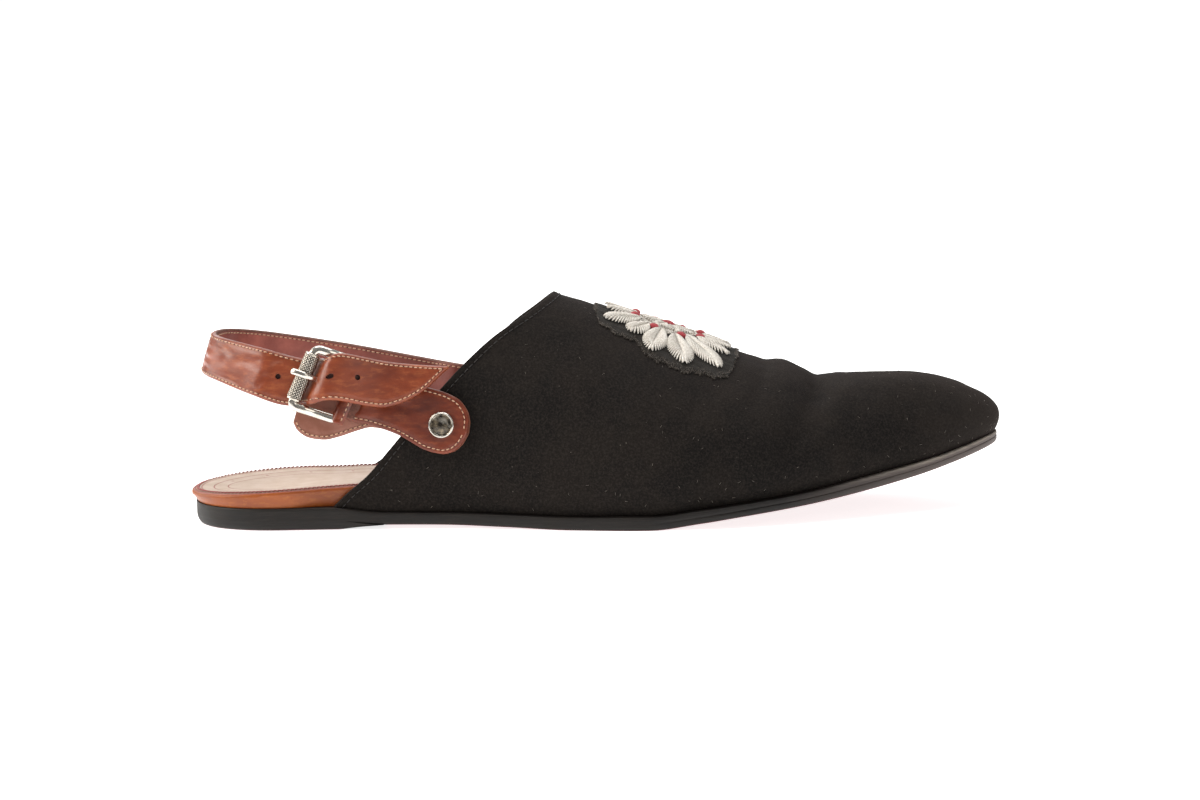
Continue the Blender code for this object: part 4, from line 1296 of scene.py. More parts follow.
class MULE_OT_footbed(bpy.types.Operator):
    """Build the tan-covered footbed, its piping, the pinked sock and the sock's stitches"""

    bl_idname = "mule.footbed"
    bl_label = "Footbed and sock"

    def execute(self, context):
        colours, sizes = context.scene.mule_colours, context.scene.mule_sizes
        loops = []
        for share, drop, inset, back in FOOTBED_SIDE:

            def height(along, share=share, drop=drop):
                foot = sole_top(along) + 0.05 * MM
                return foot + (FOOTBED("rim", along) - drop * MM - foot) * share

            loops.append(
                sole_loop(height, inset * MM, back=back * MM, tip=FOOTBED_TIP,
                          extra=footbed_inset, steps=260)
            )
        rand = slab("footbed_rand", loops, [tan_leather(colours)])
        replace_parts(rand, "insole")

        rows, insets = [], []
        rim = footbed_ring(SOCK_PEAKS, 0, SOCK_STEPS)
        run = lengths_along(rim)
        wave = np.abs((run / sizes.pinking) % 1 - 0.5) * 2 * sizes.pinking_depth
        for number, inset in enumerate(SOCK_RINGS):
            lift = 0.02 * MM if number == 0 else SOCK_THICK * min(1, 0.55 + 0.45 * inset / 3)
            ring = footbed_ring(inset * MM, lift, SOCK_STEPS)
            if number < 2:
                inner = footbed_ring(inset * MM + sizes.pinking_depth, lift, SOCK_STEPS)
                share = (wave / sizes.pinking_depth)[:, None]
                ring = ring * (1 - share) + inner * share
            rows.append(ring)
            insets.append(np.full(len(ring), inset))
        rings = np.stack(rows)
        count, columns = rings.shape[:2]
        faces = list(quads(count, columns, around=True))
        last = (count - 1) * columns + np.arange(columns)
        for i in range(columns // 2 - 1):
            faces.append((last[i], last[i + 1], last[-2 - i], last[-1 - i]))
        fields = {"inset": np.concatenate(insets), "run": np.tile(run / MM, count)}
        make_piece(
            "sock", rings, faces, [sock_leather(colours)], fields=fields
        )

        line = thread_finish("rose_thread", colours.sock_line, colours.lining_dark)
        ring = footbed_ring(PIPING_INSET, -PIPING_DROP, 320)
        points, faces = tube(ring, PIPING_RADIUS, sides=8, closed=True)
        make_piece("sock_piping", points, faces, [line])
        ring = footbed_ring(SOCK_STITCH_INSET, SOCK_THICK + 0.1 * MM, SOCK_STEPS)
        inner = footbed_ring(SOCK_STITCH_INSET + MM, SOCK_THICK + 0.1 * MM, SOCK_STEPS)
        centres, ways = walk(ring, sizes.pinking)
        at = lengths_along(ring)
        middles = np.linspace(0, at[-1], len(centres) + 1)[:-1] + sizes.pinking / 2
        ways = unit(ways) + unit(read_rows(middles, at, inner - ring)) * 0.8
        outs = np.tile((0.0, 0.0, 1.0), (len(centres), 1))
        threads("sock_stitches", centres, ways, outs, SOCK_STITCH, SOCK_STITCH_RADIUS, line,
                arch=0.08 * MM)
        return {"FINISHED"}


# The vamp.

# Creases of each side: height over the leather in millimetres (less than nothing for a
# trough), half width, and the line as places along and heights.
VAMP_CREASES = {
    LATERAL: (
        (-2.1, 4.4, ((236, 48), (234, 46), (231, 43.5), (229, 40), (227, 36.5), (226.5, 32.5),
                     (224, 30), (221, 27), (218, 23))),
        (1.0, 4.2, ((246, 47), (242, 42), (239, 36), (236, 30), (230, 23))),
        (1.1, 8.0, ((188, 42), (196, 38.5), (204, 34), (213, 28.5))),
        (-0.6, 2.6, ((216, 56), (213, 50), (211, 45), (208, 41))),
        (-0.55, 4.0, ((204, 60), (199, 52), (194, 45), (187, 38))),
        (-0.4, 3.5, ((206, 30), (198, 26), (190, 22))),
        (0.35, 3.0, ((262, 46), (258, 40), (255, 33))),
        (-0.5, 5.0, ((150, 45), (162, 36), (176, 28))),
        (-0.45, 3.2, ((112, 34), (126, 27), (140, 22), (150, 19))),
    ),
    MEDIAL: (
        (-1.4, 4.6, ((236, 48), (233, 45), (230, 41), (227, 36), (224, 30), (219, 24))),
        (0.7, 4.2, ((246, 47), (242, 41), (238, 34), (232, 25))),
        (1.0, 8.0, ((190, 42), (199, 36), (208, 30))),
        (-0.6, 2.6, ((216, 56), (213, 50), (210, 44))),
        (-0.5, 4.0, ((203, 60), (197, 50), (190, 41))),
        (-0.5, 5.0, ((148, 46), (161, 36), (176, 27))),
    ),
}
LEVELS = 81  # from the sole to the ridge on each side
VAMP_STEPS = 170  # from the collar to the toe
COLLAR_RISE = 0.3 * MM  # how far the rolled collar stands over the suede
LINT_HAIRS = 260


def vamp_relief(points, side):
    """How far creases and the leather's unevenness lift the vamp's outside."""
    places = np.stack([points[..., 0] + HEEL_MIDDLE, points[..., 2]], axis=-1)
    relief = crease_depth(places, VAMP_CREASES[side])
    high = smooth_step(places[..., 1], 7 * MM, 16 * MM)
    relief = relief + 0.16 * MM * soft_noise(points, 24 * MM, 3) * high
    relief = relief + 0.07 * MM * soft_noise(points, 8 * MM, 5) * high
    return relief


def vamp_grid():
    """Points of the vamp's smooth outside: rows from one side of the sole over the ridge to
    the other, columns from the collar to the toe. Also which side each row is on."""
    level = np.linspace(-1, 1, LEVELS)
    share = np.sin(np.linspace(0, pi / 2, VAMP_STEPS))[None]
    halves = []
    for side in (LATERAL, MEDIAL):
        start = collar_start(side, level)
        start[-1] = collar_start(LATERAL, level)[-1]
        start, tip = start[:, None], last_tip(level)[:, None]
        along = start + (tip - start) * share
        halves.append(last_point(side, np.broadcast_to(level[:, None], along.shape), along))
    points = np.concatenate([halves[0], halves[1][-2::-1]])
    lasted = smooth_step(-np.concatenate([level, level[-2::-1]]), 0.4, 1.0)
    points[..., 2] -= lasted[:, None] * (GAP + 0.05 * MM)  # pulled down onto the sole
    sides = np.concatenate([np.full(LEVELS, LATERAL), np.full(LEVELS - 1, MEDIAL)])
    return points, sides


def grid_normals(points):
    """Outward directions of the vamp's grid, by the lie of its neighbours."""
    down = np.gradient(points, axis=0)
    ahead = np.gradient(points, axis=1)
    ahead[:, -1] = ahead[:, -2]
    down[:, -1] = down[:, -2]
    return unit(np.cross(down, ahead))


class MULE_OT_vamp(bpy.types.Operator):
    """Build the suede vamp with its lining, its rolled collar and the collar's stitches"""

    bl_idname = "mule.vamp"
    bl_label = "Vamp"

    def execute(self, context):
        colours, sizes = context.scene.mule_colours, context.scene.mule_sizes
        points, sides = vamp_grid()
        normals = grid_normals(points)
        if normals[LEVELS // 2, VAMP_STEPS // 2, 1] > 0:
            normals = -normals
        steps = np.linalg.norm(np.diff(points, axis=1), axis=2)
        inside = np.concatenate([np.zeros((len(points), 1)), np.cumsum(steps, axis=1)], axis=1)
        relief = np.where(
            (sides == LATERAL)[:, None], vamp_relief(points, LATERAL), vamp_relief(points, MEDIAL)
        )
        # The fold stands proud at the edge, its seam is sunk and a tooled line lies behind it.
        fold = COLLAR_RISE * mound(inside, 1.6 * MM)
        seam = -0.26 * MM * mound(inside - sizes.collar_inset, 0.5 * MM)
        seam = seam - 0.12 * MM * mound(inside - sizes.collar_inset - 1.5 * MM, 0.3 * MM)
        outer = points + normals * (relief + fold + seam)[..., None]
        edge, edge_normal = points[:, 0], normals[:, 0]
        back = unit(points[:, 0] - points[:, 1])
        radius = WALL / 2
        middle = edge - edge_normal * radius
        turns = np.linspace(0, pi, 9)[1:-1]
        roll = [
            middle + edge_normal * (radius + COLLAR_RISE * (1 + cos(t)) / 2) * cos(t)
            + back * radius * 0.9 * sin(t)
            for t in turns
        ]
        inner = points + normals * (np.minimum(relief, 0) * 0.8 - WALL)[..., None]
        sheet = np.concatenate([inner[:, ::-1], np.stack(roll[::-1], axis=1), outer], axis=1)
        rows, columns = sheet.shape[:2]
        numbers = np.arange(rows * columns).reshape(rows, columns)
        for row in range(LEVELS - 1):
            for column in (0, columns - 1):
                numbers[rows - 1 - row, column] = numbers[row, column]
        corners = (numbers[:-1, :-1], numbers[1:, :-1], numbers[1:, 1:], numbers[:-1, 1:])
        faces = np.stack(corners, axis=-1).reshape(-1, 4)
        kinds = np.tile(np.where(np.arange(columns - 1) < VAMP_STEPS - 1, 1, 0), rows - 1)
        rims = []
        for row in (0, rows - 1):
            ring = numbers[row]
            for i in range(VAMP_STEPS - 1):
                far = columns - 1 - i
                rims.append((ring[i], ring[i + 1], ring[far - 1], ring[far]))
        faces = list(faces) + rims
        kinds = np.concatenate([kinds, np.zeros(len(rims), int)])
        vamp = make_piece(
            "suede_vamp", sheet, faces,
            [buffed_suede(colours),
             lining_leather("brown_calf_lining", colours.vamp_lining_dark, colours.vamp_lining,
                            colours.vamp_lining_dark)],
            kinds,
        )
        weld(vamp)
        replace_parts(vamp, "upper")

        line, lift = (
            np.stack([read_rows(sizes.collar_inset, at, row) for at, row in zip(inside, grid)])
            for grid in (outer, normals)
        )
        centres, ways = walk(line, sizes.collar_stitch + 0.6 * MM)
        at = lengths_along(line)
        places = (np.arange(len(centres)) + 0.5) * at[-1] / len(centres)
        outs = read_rows(places, at, lift)
        finish = thread_finish("dark_waxed_thread", colours.thread_collar, colours.suede_dark)
        threads("collar_stitches", centres + unit(outs) * 0.12 * MM, ways, outs,
                sizes.collar_stitch, 0.17 * MM, finish, arch=THREAD_ARCH)

        rng = np.random.default_rng(4)
        row = rng.integers(8, rows - 8, LINT_HAIRS)
        column = rng.integers(6, VAMP_STEPS - 8, LINT_HAIRS)
        outs = normals[row, column]
        ways = rng.normal(size=outs.shape)
        ways = unit(ways - outs * np.sum(ways * outs, axis=-1, keepdims=True))
        hairs = thread_finish("lint_hair", colours.lint, colours.fuzz)
        threads("lint_hairs", outer[row, column] + outs * 0.05 * MM, ways, outs, 1.1 * MM, 0.04 * MM,
                hairs, arch=0.1 * MM, sides=4)
        return {"FINISHED"}


# The ornament on the vamp, drawn as places along the ridge and distances across it.


class VampChart:
    """Reads places on the vamp's outside by distance along the shoe and across its ridge."""

    def __init__(self):
        self.runs = np.linspace(142, 214, 145) * MM
        self.arcs = np.linspace(-40, 40, 321) * MM
        level = np.sin(np.linspace(0, pi / 2, 160))[::-1]
        rows = []
        for run in self.runs:
            row = []
            for side in (LATERAL, MEDIAL):
                points = last_point(side, level, np.full_like(level, run))
                points = self.lifted(points, side)
                reach = lengths_along(points)
                arcs = -self.arcs[self.arcs < 0][::-1] if side == LATERAL else self.arcs[self.arcs >= 0]
                found = read_rows(arcs, reach, points)
                row.append(found[::-1] if side == LATERAL else found)
            rows.append(np.concatenate(row))
        self.points = np.stack(rows)
        across = np.gradient(self.points, axis=1)
        ahead = np.gradient(self.points, axis=0)
        self.normals = unit(np.cross(ahead, across))
        if self.normals[..., 2].mean() < 0:
            self.normals = -self.normals

    def lifted(self, points, side):
        relief = vamp_relief(points, side)
        # On these slopes about 0.7 of a crease's height is upright.
        return points + np.array((0.0, 0.0, 1.0)) * relief[:, None] * 0.7

    def place(self, spots, lift=0.0):
        """Points at (run, arc) spots, lifted off the suede, and the way out there."""
        run, arc = (
            np.clip((spots[..., axis] - at[0]) / (at[1] - at[0]), 0, len(at) - 1.001)
            for axis, at in enumerate((self.runs, self.arcs))
        )
        i, j = run.astype(int), arc.astype(int)
        s, t = (run - i)[..., None], (arc - j)[..., None]

        def read(rows):
            return (rows[i, j] * (1 - s) * (1 - t) + rows[i + 1, j] * s * (1 - t)
                    + rows[i, j + 1] * (1 - s) * t + rows[i + 1, j + 1] * s * t)

        out = unit(read(self.normals))
        return read(self.points) + out * np.asarray(lift)[..., None], out


FELT_THICK = 0.7 * MM
# Half width of the felt across the ridge, by place along the shoe.
FELT = Table(
    "along half",
    ((152.4, 9), (153.4, 16), (155.5, 21), (160, 23.5), (166, 25), (169, 28.5), (171.5, 32.5),
     (176, 34.5), (183, 36.5), (188, 36.5), (194, 35), (199, 34), (202.5, 27), (204.2, 12)),
)
FELT_BORDER = 3.6 * MM  # felt left showing round the silver
FELT_FIBRES = 1500
FELT_BACK, FELT_FRONT = 152.5, 204.1  # places of its ends in millimetres
HEART = 178.5, 0.0  # the ornament's middle, as (run, arc) in millimetres
PETALS = 8  # of the rosette
PETAL_START = 2.6  # distances and sizes from here on are in millimetres
PETAL_LENGTH, PETAL_WIDTH = 7.6, 5.8
KNOT_RADIUS = 2.4  # the boss in the heart
COIL = 0.42  # radius of the purl wire
COIL_RING = 10.6
BEADS = 16  # bosses and curls by turns, on a ring
BEAD_RING = 13.0
BOSS_RADIUS = 1.75
CURL_RADIUS = 1.5
LEAVES = 16
LEAF_STARTS = 12.6, 11.4  # of every other leaf and of those between
LEAF_MORE = 0.0, 0.8  # how much further than the border they run
LEAF_WIDEST = 9.8
LEAVES_BACK, LEAVES_FRONT = 156, 201  # places between which they stay
LAID = 0.45 * MM  # height of the laid ground over the felt


def about_heart(turn, away):
    """The (run, arc) in millimetres at a turn in degrees about the heart."""
    return HEART[0] + away * cos(radians(turn)), away * sin(radians(turn))


def felt_half(run, seed):
    """The felt's half width with the small wander of a hand-cut edge."""
    rng = np.random.default_rng(seed)
    wander = sum(
        np.sin(run / (size * MM) * 2 * pi + rng.uniform(0, 6)) * depth
        for size, depth in ((11, 0.6), (5.1, 0.55), (2.3, 0.4), (1.1, 0.3))
    )
    return FELT("half", run) + wander * MM


def satin_leaf(chart, base, turn, length, width, pitch):
    """Threads of one padded leaf: laid from its vein slantwise out to its outline."""
    base = np.array(base) * MM
    turn = radians(turn)
    ahead = np.array((cos(turn), sin(turn)))
    aside = np.array((-sin(turn), cos(turn)))
    count = int(length * MM / pitch)
    parts = []
    share = np.linspace(0, 1, 6)
    # Each thread ends about a quarter of the leaf further on than it starts.
    for k in range(count):
        t = (k + 0.3) / count
        reach = min(t + 0.24, 0.985)
        half = width / 2 * MM * sin(pi * reach**1.25) ** 0.6
        for side in (-1, 1):
            start = base + ahead * length * MM * t * 0.97
            end = base + ahead * length * MM * reach + aside * side * half
            line = start + (end - start) * share[:, None]
            lift = FELT_THICK + LAID + (0.1 + 0.9 * np.sin(pi * (0.22 + 0.74 * share))) * MM
            points, outs = chart.place(line, lift)
            radii = pitch * np.array((0.3, 0.38, 0.4, 0.4, 0.37, 0.2))
            parts.append(tube(points, radii, sides=6, up=outs[2]))
    return parts


def laid_ground(chart, pitch, radius):
    """Silver threads laid side by side in a round field over the felt."""
    parts = []
    share = np.linspace(-1, 1, 40)
    for number, offset in enumerate(np.arange(-radius + 0.2 * MM, radius, pitch)):
        half = sqrt(radius**2 - offset**2)
        line = np.stack([np.full(40, HEART[0] * MM + offset), share * half], axis=-1)
        lift = FELT_THICK + 0.2 * MM + 0.08 * MM * np.sin(share * 40 + number * 2.1)
        points, outs = chart.place(line, lift)
        parts.append(tube(points, pitch * 0.5, sides=6, up=outs[20]))
    return parts


def leaf_reach(turn):
    """How far from the heart, in millimetres, a leaf may run before the felt's border."""
    at = np.arange(8, 34, 0.1)
    run = HEART[0] + at * cos(radians(turn))
    arc = at * abs(sin(radians(turn)))
    inside = (run > LEAVES_BACK) & (run < LEAVES_FRONT)
    return at[inside & (arc * MM < FELT("half", run * MM) - FELT_BORDER)].max()


def purl_coil(chart, line, radius):
    """A coil of purl wire couched along a line: a bar ringed by its own turns."""
    line = np.array(line, float) * MM
    at = lengths_along(line)
    count = int(at[-1] / (0.2 * MM))
    places = curve_through(at, line, np.linspace(0, at[-1], count))
    points, outs = chart.place(places, FELT_THICK + LAID + radius * 0.8 * MM)
    ring = 0.82 + 0.18 * np.cos(np.arange(count) * 2 * pi / 3)
    fade = np.minimum(1, np.minimum(np.arange(count), np.arange(count)[::-1]) / 3 + 0.4)
    return tube(points, radius * MM * ring * fade, sides=8, up=outs[count // 2])


def curl(centre, radius, turns):
    """A spiral's line as (run, arc) in millimetres."""
    share = np.linspace(0, 1, 26)
    turn = turns * 2 * pi * share
    reach = radius * (1 - 0.82 * share)
    return np.stack([centre[0] + reach * np.cos(turn), centre[1] + reach * np.sin(turn)], axis=-1)


def knot(chart, spot, radius):
    """A satin-stitched boss: threads laid side by side over a round pad."""
    parts = []
    for offset in np.arange(-0.85, 0.86, 0.34 / radius):
        half = sqrt(max(1 - offset**2, 0.02))
        share = np.linspace(-1, 1, 9)
        line = np.stack([np.full(9, offset * radius), share * half * radius], axis=-1)
        line = (np.array(spot) + line) * MM
        dome = np.sqrt(np.maximum(1 - offset**2 - (share * half) ** 2, 0))
        points, outs = chart.place(line, FELT_THICK + LAID + (0.3 + 1.5 * dome) * MM)
        parts.append(tube(points, 0.24 * MM, sides=6, up=outs[4]))
    return parts


class MULE_OT_ornament(bpy.types.Operator):
    """Build the felt patch with its silver rosette, ring of leaves, coils and red bosses"""

    bl_idname = "mule.ornament"
    bl_label = "Vamp ornament"

    def execute(self, context):
        colours, sizes = context.scene.mule_colours, context.scene.mule_sizes
        chart = VampChart()
        runs = np.linspace(FELT_BACK, FELT_FRONT, 180) * MM
        shares = np.linspace(-1, 1, 91)
        halves = np.where(shares[None] < 0, felt_half(runs, 1)[:, None], felt_half(runs, 2)[:, None])
        spots = np.stack(np.broadcast_arrays(runs[:, None], halves * shares[None]), axis=-1)
        ragged = 0.5 * MM * np.sin(shares * 61 + 2 * np.sin(shares * 23))
        spots[0, :, 0] += ragged
        spots[-1, :, 0] += ragged[::-1]
        from_end = np.minimum(runs - runs[0], runs[-1] - runs)[:, None] / (9 * MM)
        near = np.minimum(1 - np.abs(shares)[None], from_end)
        thick = FELT_THICK * np.clip(near * 14, 0.3, 1) ** 0.5
        bumps = 0.12 * MM * soft_noise(spots @ np.array(((1, 0, 0), (0, 1, 0))), 3.2 * MM, 8)
        top, _ = chart.place(spots, thick + bumps)
        foot, _ = chart.place(spots, -0.3 * MM)
        count, columns = spots.shape[:2]
        faces = list(quads(count, columns))
        below = quads(count, columns, first=count * columns)[:, ::-1]
        numbers = np.arange(count * columns).reshape(count, columns)
        rim = np.concatenate([numbers[0], numbers[1:, -1], numbers[-1, -2::-1], numbers[-2:0:-1, 0]])
        rim = np.stack([rim, np.roll(rim, -1)], axis=-1)
        skirt = np.concatenate([rim, rim[:, ::-1] + count * columns], axis=-1)
        points = np.concatenate([top.reshape(-1, 3), foot.reshape(-1, 3)])
        faces += list(below) + list(skirt)
        weld(make_piece("felt_patch", points, faces, [wool_felt(colours)]))

        rng = np.random.default_rng(11)
        border = np.concatenate([spots[:, 0], spots[-1], spots[::-1, -1], spots[0, ::-1]])
        picks = rng.integers(0, len(border), FELT_FIBRES)
        inward = np.column_stack([np.ones(FELT_FIBRES), rng.uniform(0.9, 1.0, FELT_FIBRES)])
        starts, outs = chart.place(border[picks] * inward, 0.6 * MM)
        ways = rng.normal(size=starts.shape)
        ways = unit(ways - outs * np.sum(ways * outs, axis=-1, keepdims=True) * 0.7)
        fuzz = thread_finish("felt_fibre", colours.fuzz, colours.felt)
        threads("felt_fibres", starts, ways, outs, 1.3 * MM, 0.07 * MM, fuzz,
                arch=0.3 * MM, sides=4)

        silver = bullion("silver_satin_thread", colours.silver, colours.silver_dark, 0.15, 0.42)
        red = bullion("red_silk_thread", colours.red, colours.red_dark, 0.0, 0.5)
        pitch = sizes.satin
        joined_piece("silver_ground", laid_ground(chart, pitch * 0.8, 11 * MM), silver)

        # A rosette in the middle and long leaves all round it, out to the felt's border.
        parts, bosses = [], knot(chart, HEART, KNOT_RADIUS)
        for k in range(PETALS):
            turn = 360 / PETALS * (k + 0.5)
            base = about_heart(turn, PETAL_START)
            parts += satin_leaf(chart, base, turn, PETAL_LENGTH, PETAL_WIDTH, pitch * 0.8)
        for k in range(LEAVES):
            turn = 360 / LEAVES * (k + 0.5)
            start, end = LEAF_STARTS[k % 2], leaf_reach(turn) + LEAF_MORE[k % 2]
            wide = min(LEAF_WIDEST, 0.42 * (start + end) / 2)
            parts += satin_leaf(chart, about_heart(turn, start), turn, end - start, wide, pitch)
        joined_piece("silver_leaves", parts, silver)

        coils = []
        for k in range(BEADS):
            spot = about_heart(360 / BEADS * k, BEAD_RING)
            if k % 2:
                bosses += knot(chart, spot, BOSS_RADIUS)
            else:
                coils.append(purl_coil(chart, curl(spot, CURL_RADIUS, 1.2), COIL))
        ring = [about_heart(turn, COIL_RING) for turn in np.linspace(0, 360, 60)]
        coils.append(purl_coil(chart, ring, COIL))
        joined_piece("silver_purl", coils, silver)
        joined_piece("red_bosses", bosses, red)
        return {"FINISHED"}


# The heel strap, the buckle tab and their seams.

# Each needle hole is drawn as a dark capsule of painted shade.
NEEDLE_HOLE = 0.5 * MM
NEEDLE_HOLE_RADIUS = 0.17 * MM
STITCH_LIFT = 0.05 * MM  # of a thread's middle off the leather
# The loop of leather round the buckle's bar.
LOOP_THICK = 1.1 * MM
LOOP_TOP = 8.6 * MM
LOOP_BOTTOM = -9.4 * MM
LOOP_HANG = 3.0 * MM  # how much lower its front hangs
LOOP_SEAM = 1.2 * MM  # from its front edge to its stitches


def stitch(name, strip, lines, lift, sizes, colours, lining=False):
    """Rows of stitches along lines of a strip's face, with dark capsules of painted shade for the needle
    holes between them.
    """
    pitch = sizes.stitch_length + sizes.stitch_gap
    spots, ways = [], []
    for line in lines:
        if len(line) < 3:
            continue
        some, way = walk(line, pitch)
        spots.append(some)
        ways.append(way)
    spots, ways = np.concatenate(spots), unit(np.concatenate(ways))
    points, along, up, out = strip.place(spots[:, 0], spots[:, 1], lift, lining)
    lie = along * ways[:, :1] + up * ways[:, 1:]
    slant = lie + np.cross(out, lie) * 0.08
    pale = thread_finish("waxed_linen_thread", colours.thread, colours.thread_dark)
    threads(name, points, slant, out, sizes.stitch_length, sizes.thread_radius, pale,
            arch=THREAD_ARCH)
    # The dark capsules between the stitches are painted shade for the needle holes.
    hole = thread_finish("needle_hole_shade", colours.hole_shade, colours.hole_shade)
    hole_shade_spots = points + lie * pitch / 2 - out * 0.02 * MM
    threads(name + "_holes", hole_shade_spots, lie, out, NEEDLE_HOLE, NEEDLE_HOLE_RADIUS, hole)


def strap_stations():
    """The strap's middle line, way up and edges, from its inner end to its tip."""
    rows = []
    before = np.array((0.15, 0.6, 1.2, 2.0, 3.0, 4.5, 6.2, 8, 11, 14)) * MM
    share = np.minimum(before / STRAP_END_ROUND, 1)
    width = STRAP_WIDTH / 2 * np.sqrt(1 - (1 - share) ** 2)
    along = STRAP_END - before
    height = INNER_RIVET_HIGH - (along - INNER_RIVET_ALONG) * STRAP_END_SLOPE
    points, up = side_point(along, height, SLACK + STRAP_THICK / 2, MEDIAL)
    rows.append((points, unit(up + np.array((STRAP_END_SLOPE, 0, 0))), -width, width))

    def behind(at):
        return world(*(STRAP_BACK(name, at) for name in ("along", "across", "height")))

    at = np.arange(0, 131, 5) * MM
    lean = radians(1) * STRAP_BACK("lean", at)[:, None]
    run = unit(behind(at + MM) - behind(at - MM))
    upright = np.array((0.0, 0.0, 1.0))
    up = upright * np.cos(lean) + unit(np.cross(upright, run)) * np.sin(lean)
    up = unit(up - run * np.sum(run * up, axis=1, keepdims=True))
    half = STRAP_BACK("half", at)
    rows.append((behind(at), up, -half, half))

    def in_front(at):
        return side_point(*(STRAP_FRONT(name, at) for name in ("along", "height", "out")))

    # Stations lie closest where the strap dips under the roller and climbs over the bar.
    beyond = np.linspace(28.5, STRAP_FRONT_LENGTH / MM, 21)
    at = np.concatenate([[0, 4, 8, 11.5], np.arange(14, 28, 0.9), beyond]) * MM
    reach = np.minimum(STRAP_SOFTEN, np.minimum(at, STRAP_FRONT_LENGTH - at))
    points = 0
    for share in (-1, -0.5, 0, 0.5, 1):
        points = points + in_front(at + reach * share)[0] / 5
    _, up = in_front(at)
    tilt = radians(1) * STRAP_FRONT("tilt", at)[:, None]
    up = up * np.cos(tilt) + np.array((1, 0, 0)) * np.sin(tilt)
    low = STRAP_TIP("low", STRAP_FRONT_LENGTH - at)
    rows.append((points, up, low, STRAP_FRONT("high", at)))
    return [np.concatenate(parts) for parts in zip(*rows)]


# Punched holes of the strap as places along and heights, and how far each is stretched.
STRAP_HOLES = ((57.3, 58.2, 1.25), (67.1, 57.3, 1.0), (37.4, 57.4, 1.0))
HOLE_RADIUS = 1.0 * MM
HOLE_RIM = 1.55  # radius in millimetres of the swelling round a hole
# Painted shadow: a dark disc sunk into each punched hole, with its radius and depth.
HOLE_SHADOW_RADIUS = 1.2 * MM
HOLE_SHADOW_DEPTH = 1.9 * MM


def near_on_strip(strip, along, height):
    """The (run, across) of the strip's outer-side place nearest to a place and height."""
    runs, widths = np.linspace(strip.at[0], strip.at[-1], 1200), np.linspace(-8, 8, 65) * MM
    run, across = np.meshgrid(runs, widths, indexing="ij")
    points = strip.place(run, across)[0]
    away = np.hypot(points[..., 0] + HEEL_MIDDLE - along, points[..., 2] - height)
    away = away + np.where(points[..., 1] > 0, 1, 0)
    return np.array((run.flat[away.argmin()], across.flat[away.argmin()]))


def punch(piece, strip, spot, stretch, finish):
    """A round hole through a strip, stretched along it where the prong has pulled."""
    turn = np.arange(20) * 2 * pi / 20
    ring = np.stack([np.cos(turn) * stretch, np.sin(turn)], axis=-1) * HOLE_RADIUS + spot
    top = strip.place(ring[:, 0], ring[:, 1], 2 * MM)[0]
    low = strip.place(ring[:, 0], ring[:, 1], -5 * MM)[0]
    cutter = make_piece("cutter", np.concatenate([top, low]), capped(2, len(turn)), [finish])
    weld(cutter)
    cut = piece.modifiers.new("hole", "BOOLEAN")
    cut.object = cutter
    cut.operation = "DIFFERENCE"
    cut.solver = "EXACT"
    graph = bpy.context.evaluated_depsgraph_get()
    data = bpy.data.meshes.new_from_object(piece.evaluated_get(graph))
    piece.modifiers.remove(cut)
    piece.data = data
    bpy.data.objects.remove(cutter)


# Creases of the strap as (height, half width, line of (run, across)): run starts at the
# inner end. The first six lie round the back of the heel, the rest round the used hole.
STRAP_CREASES = (
    (0.45, 1.0, ((128, 0.6), (136, 0.3), (144, 0.8))),
    (-0.4, 0.9, ((126, -0.9), (135, -1.2), (146, -0.6))),
    (-0.45, 0.9, ((133, 6.2), (139, 5.2), (145, 4.4), (148, 2.8))),
    (0.35, 0.9, ((131, 4.4), (139, 3.4), (145, 2.8))),
    (-0.4, 1.0, ((122, -4.8), (132, -4.4), (142, -5.4), (156, -5.8))),
    (-0.28, 1.0, ((150, 1.0), (156, 2.8), (163, 4.4))),
    (-0.45, 0.9, ((165, 0.2), (164, -3.0), (162.5, -6.0))),
    (-0.4, 0.8, ((166, 1.8), (167.5, 4.0), (169.5, 6.2))),
    (-0.28, 0.8, ((163, 1.0), (159, 2.0), (155, 2.4))),
)


def tab_place(run, out):
    """Points and ways up of the buckle tab's middle line, from the rivet to the buckle."""
    along = RIVET_ALONG - cos(TAB_TURN) * run
    height = RIVET_HIGH + sin(TAB_TURN) * run
    points, up = side_point(along, height, out)
    return points, unit(up * cos(TAB_TURN) + np.array((1, 0, 0)) * sin(TAB_TURN))


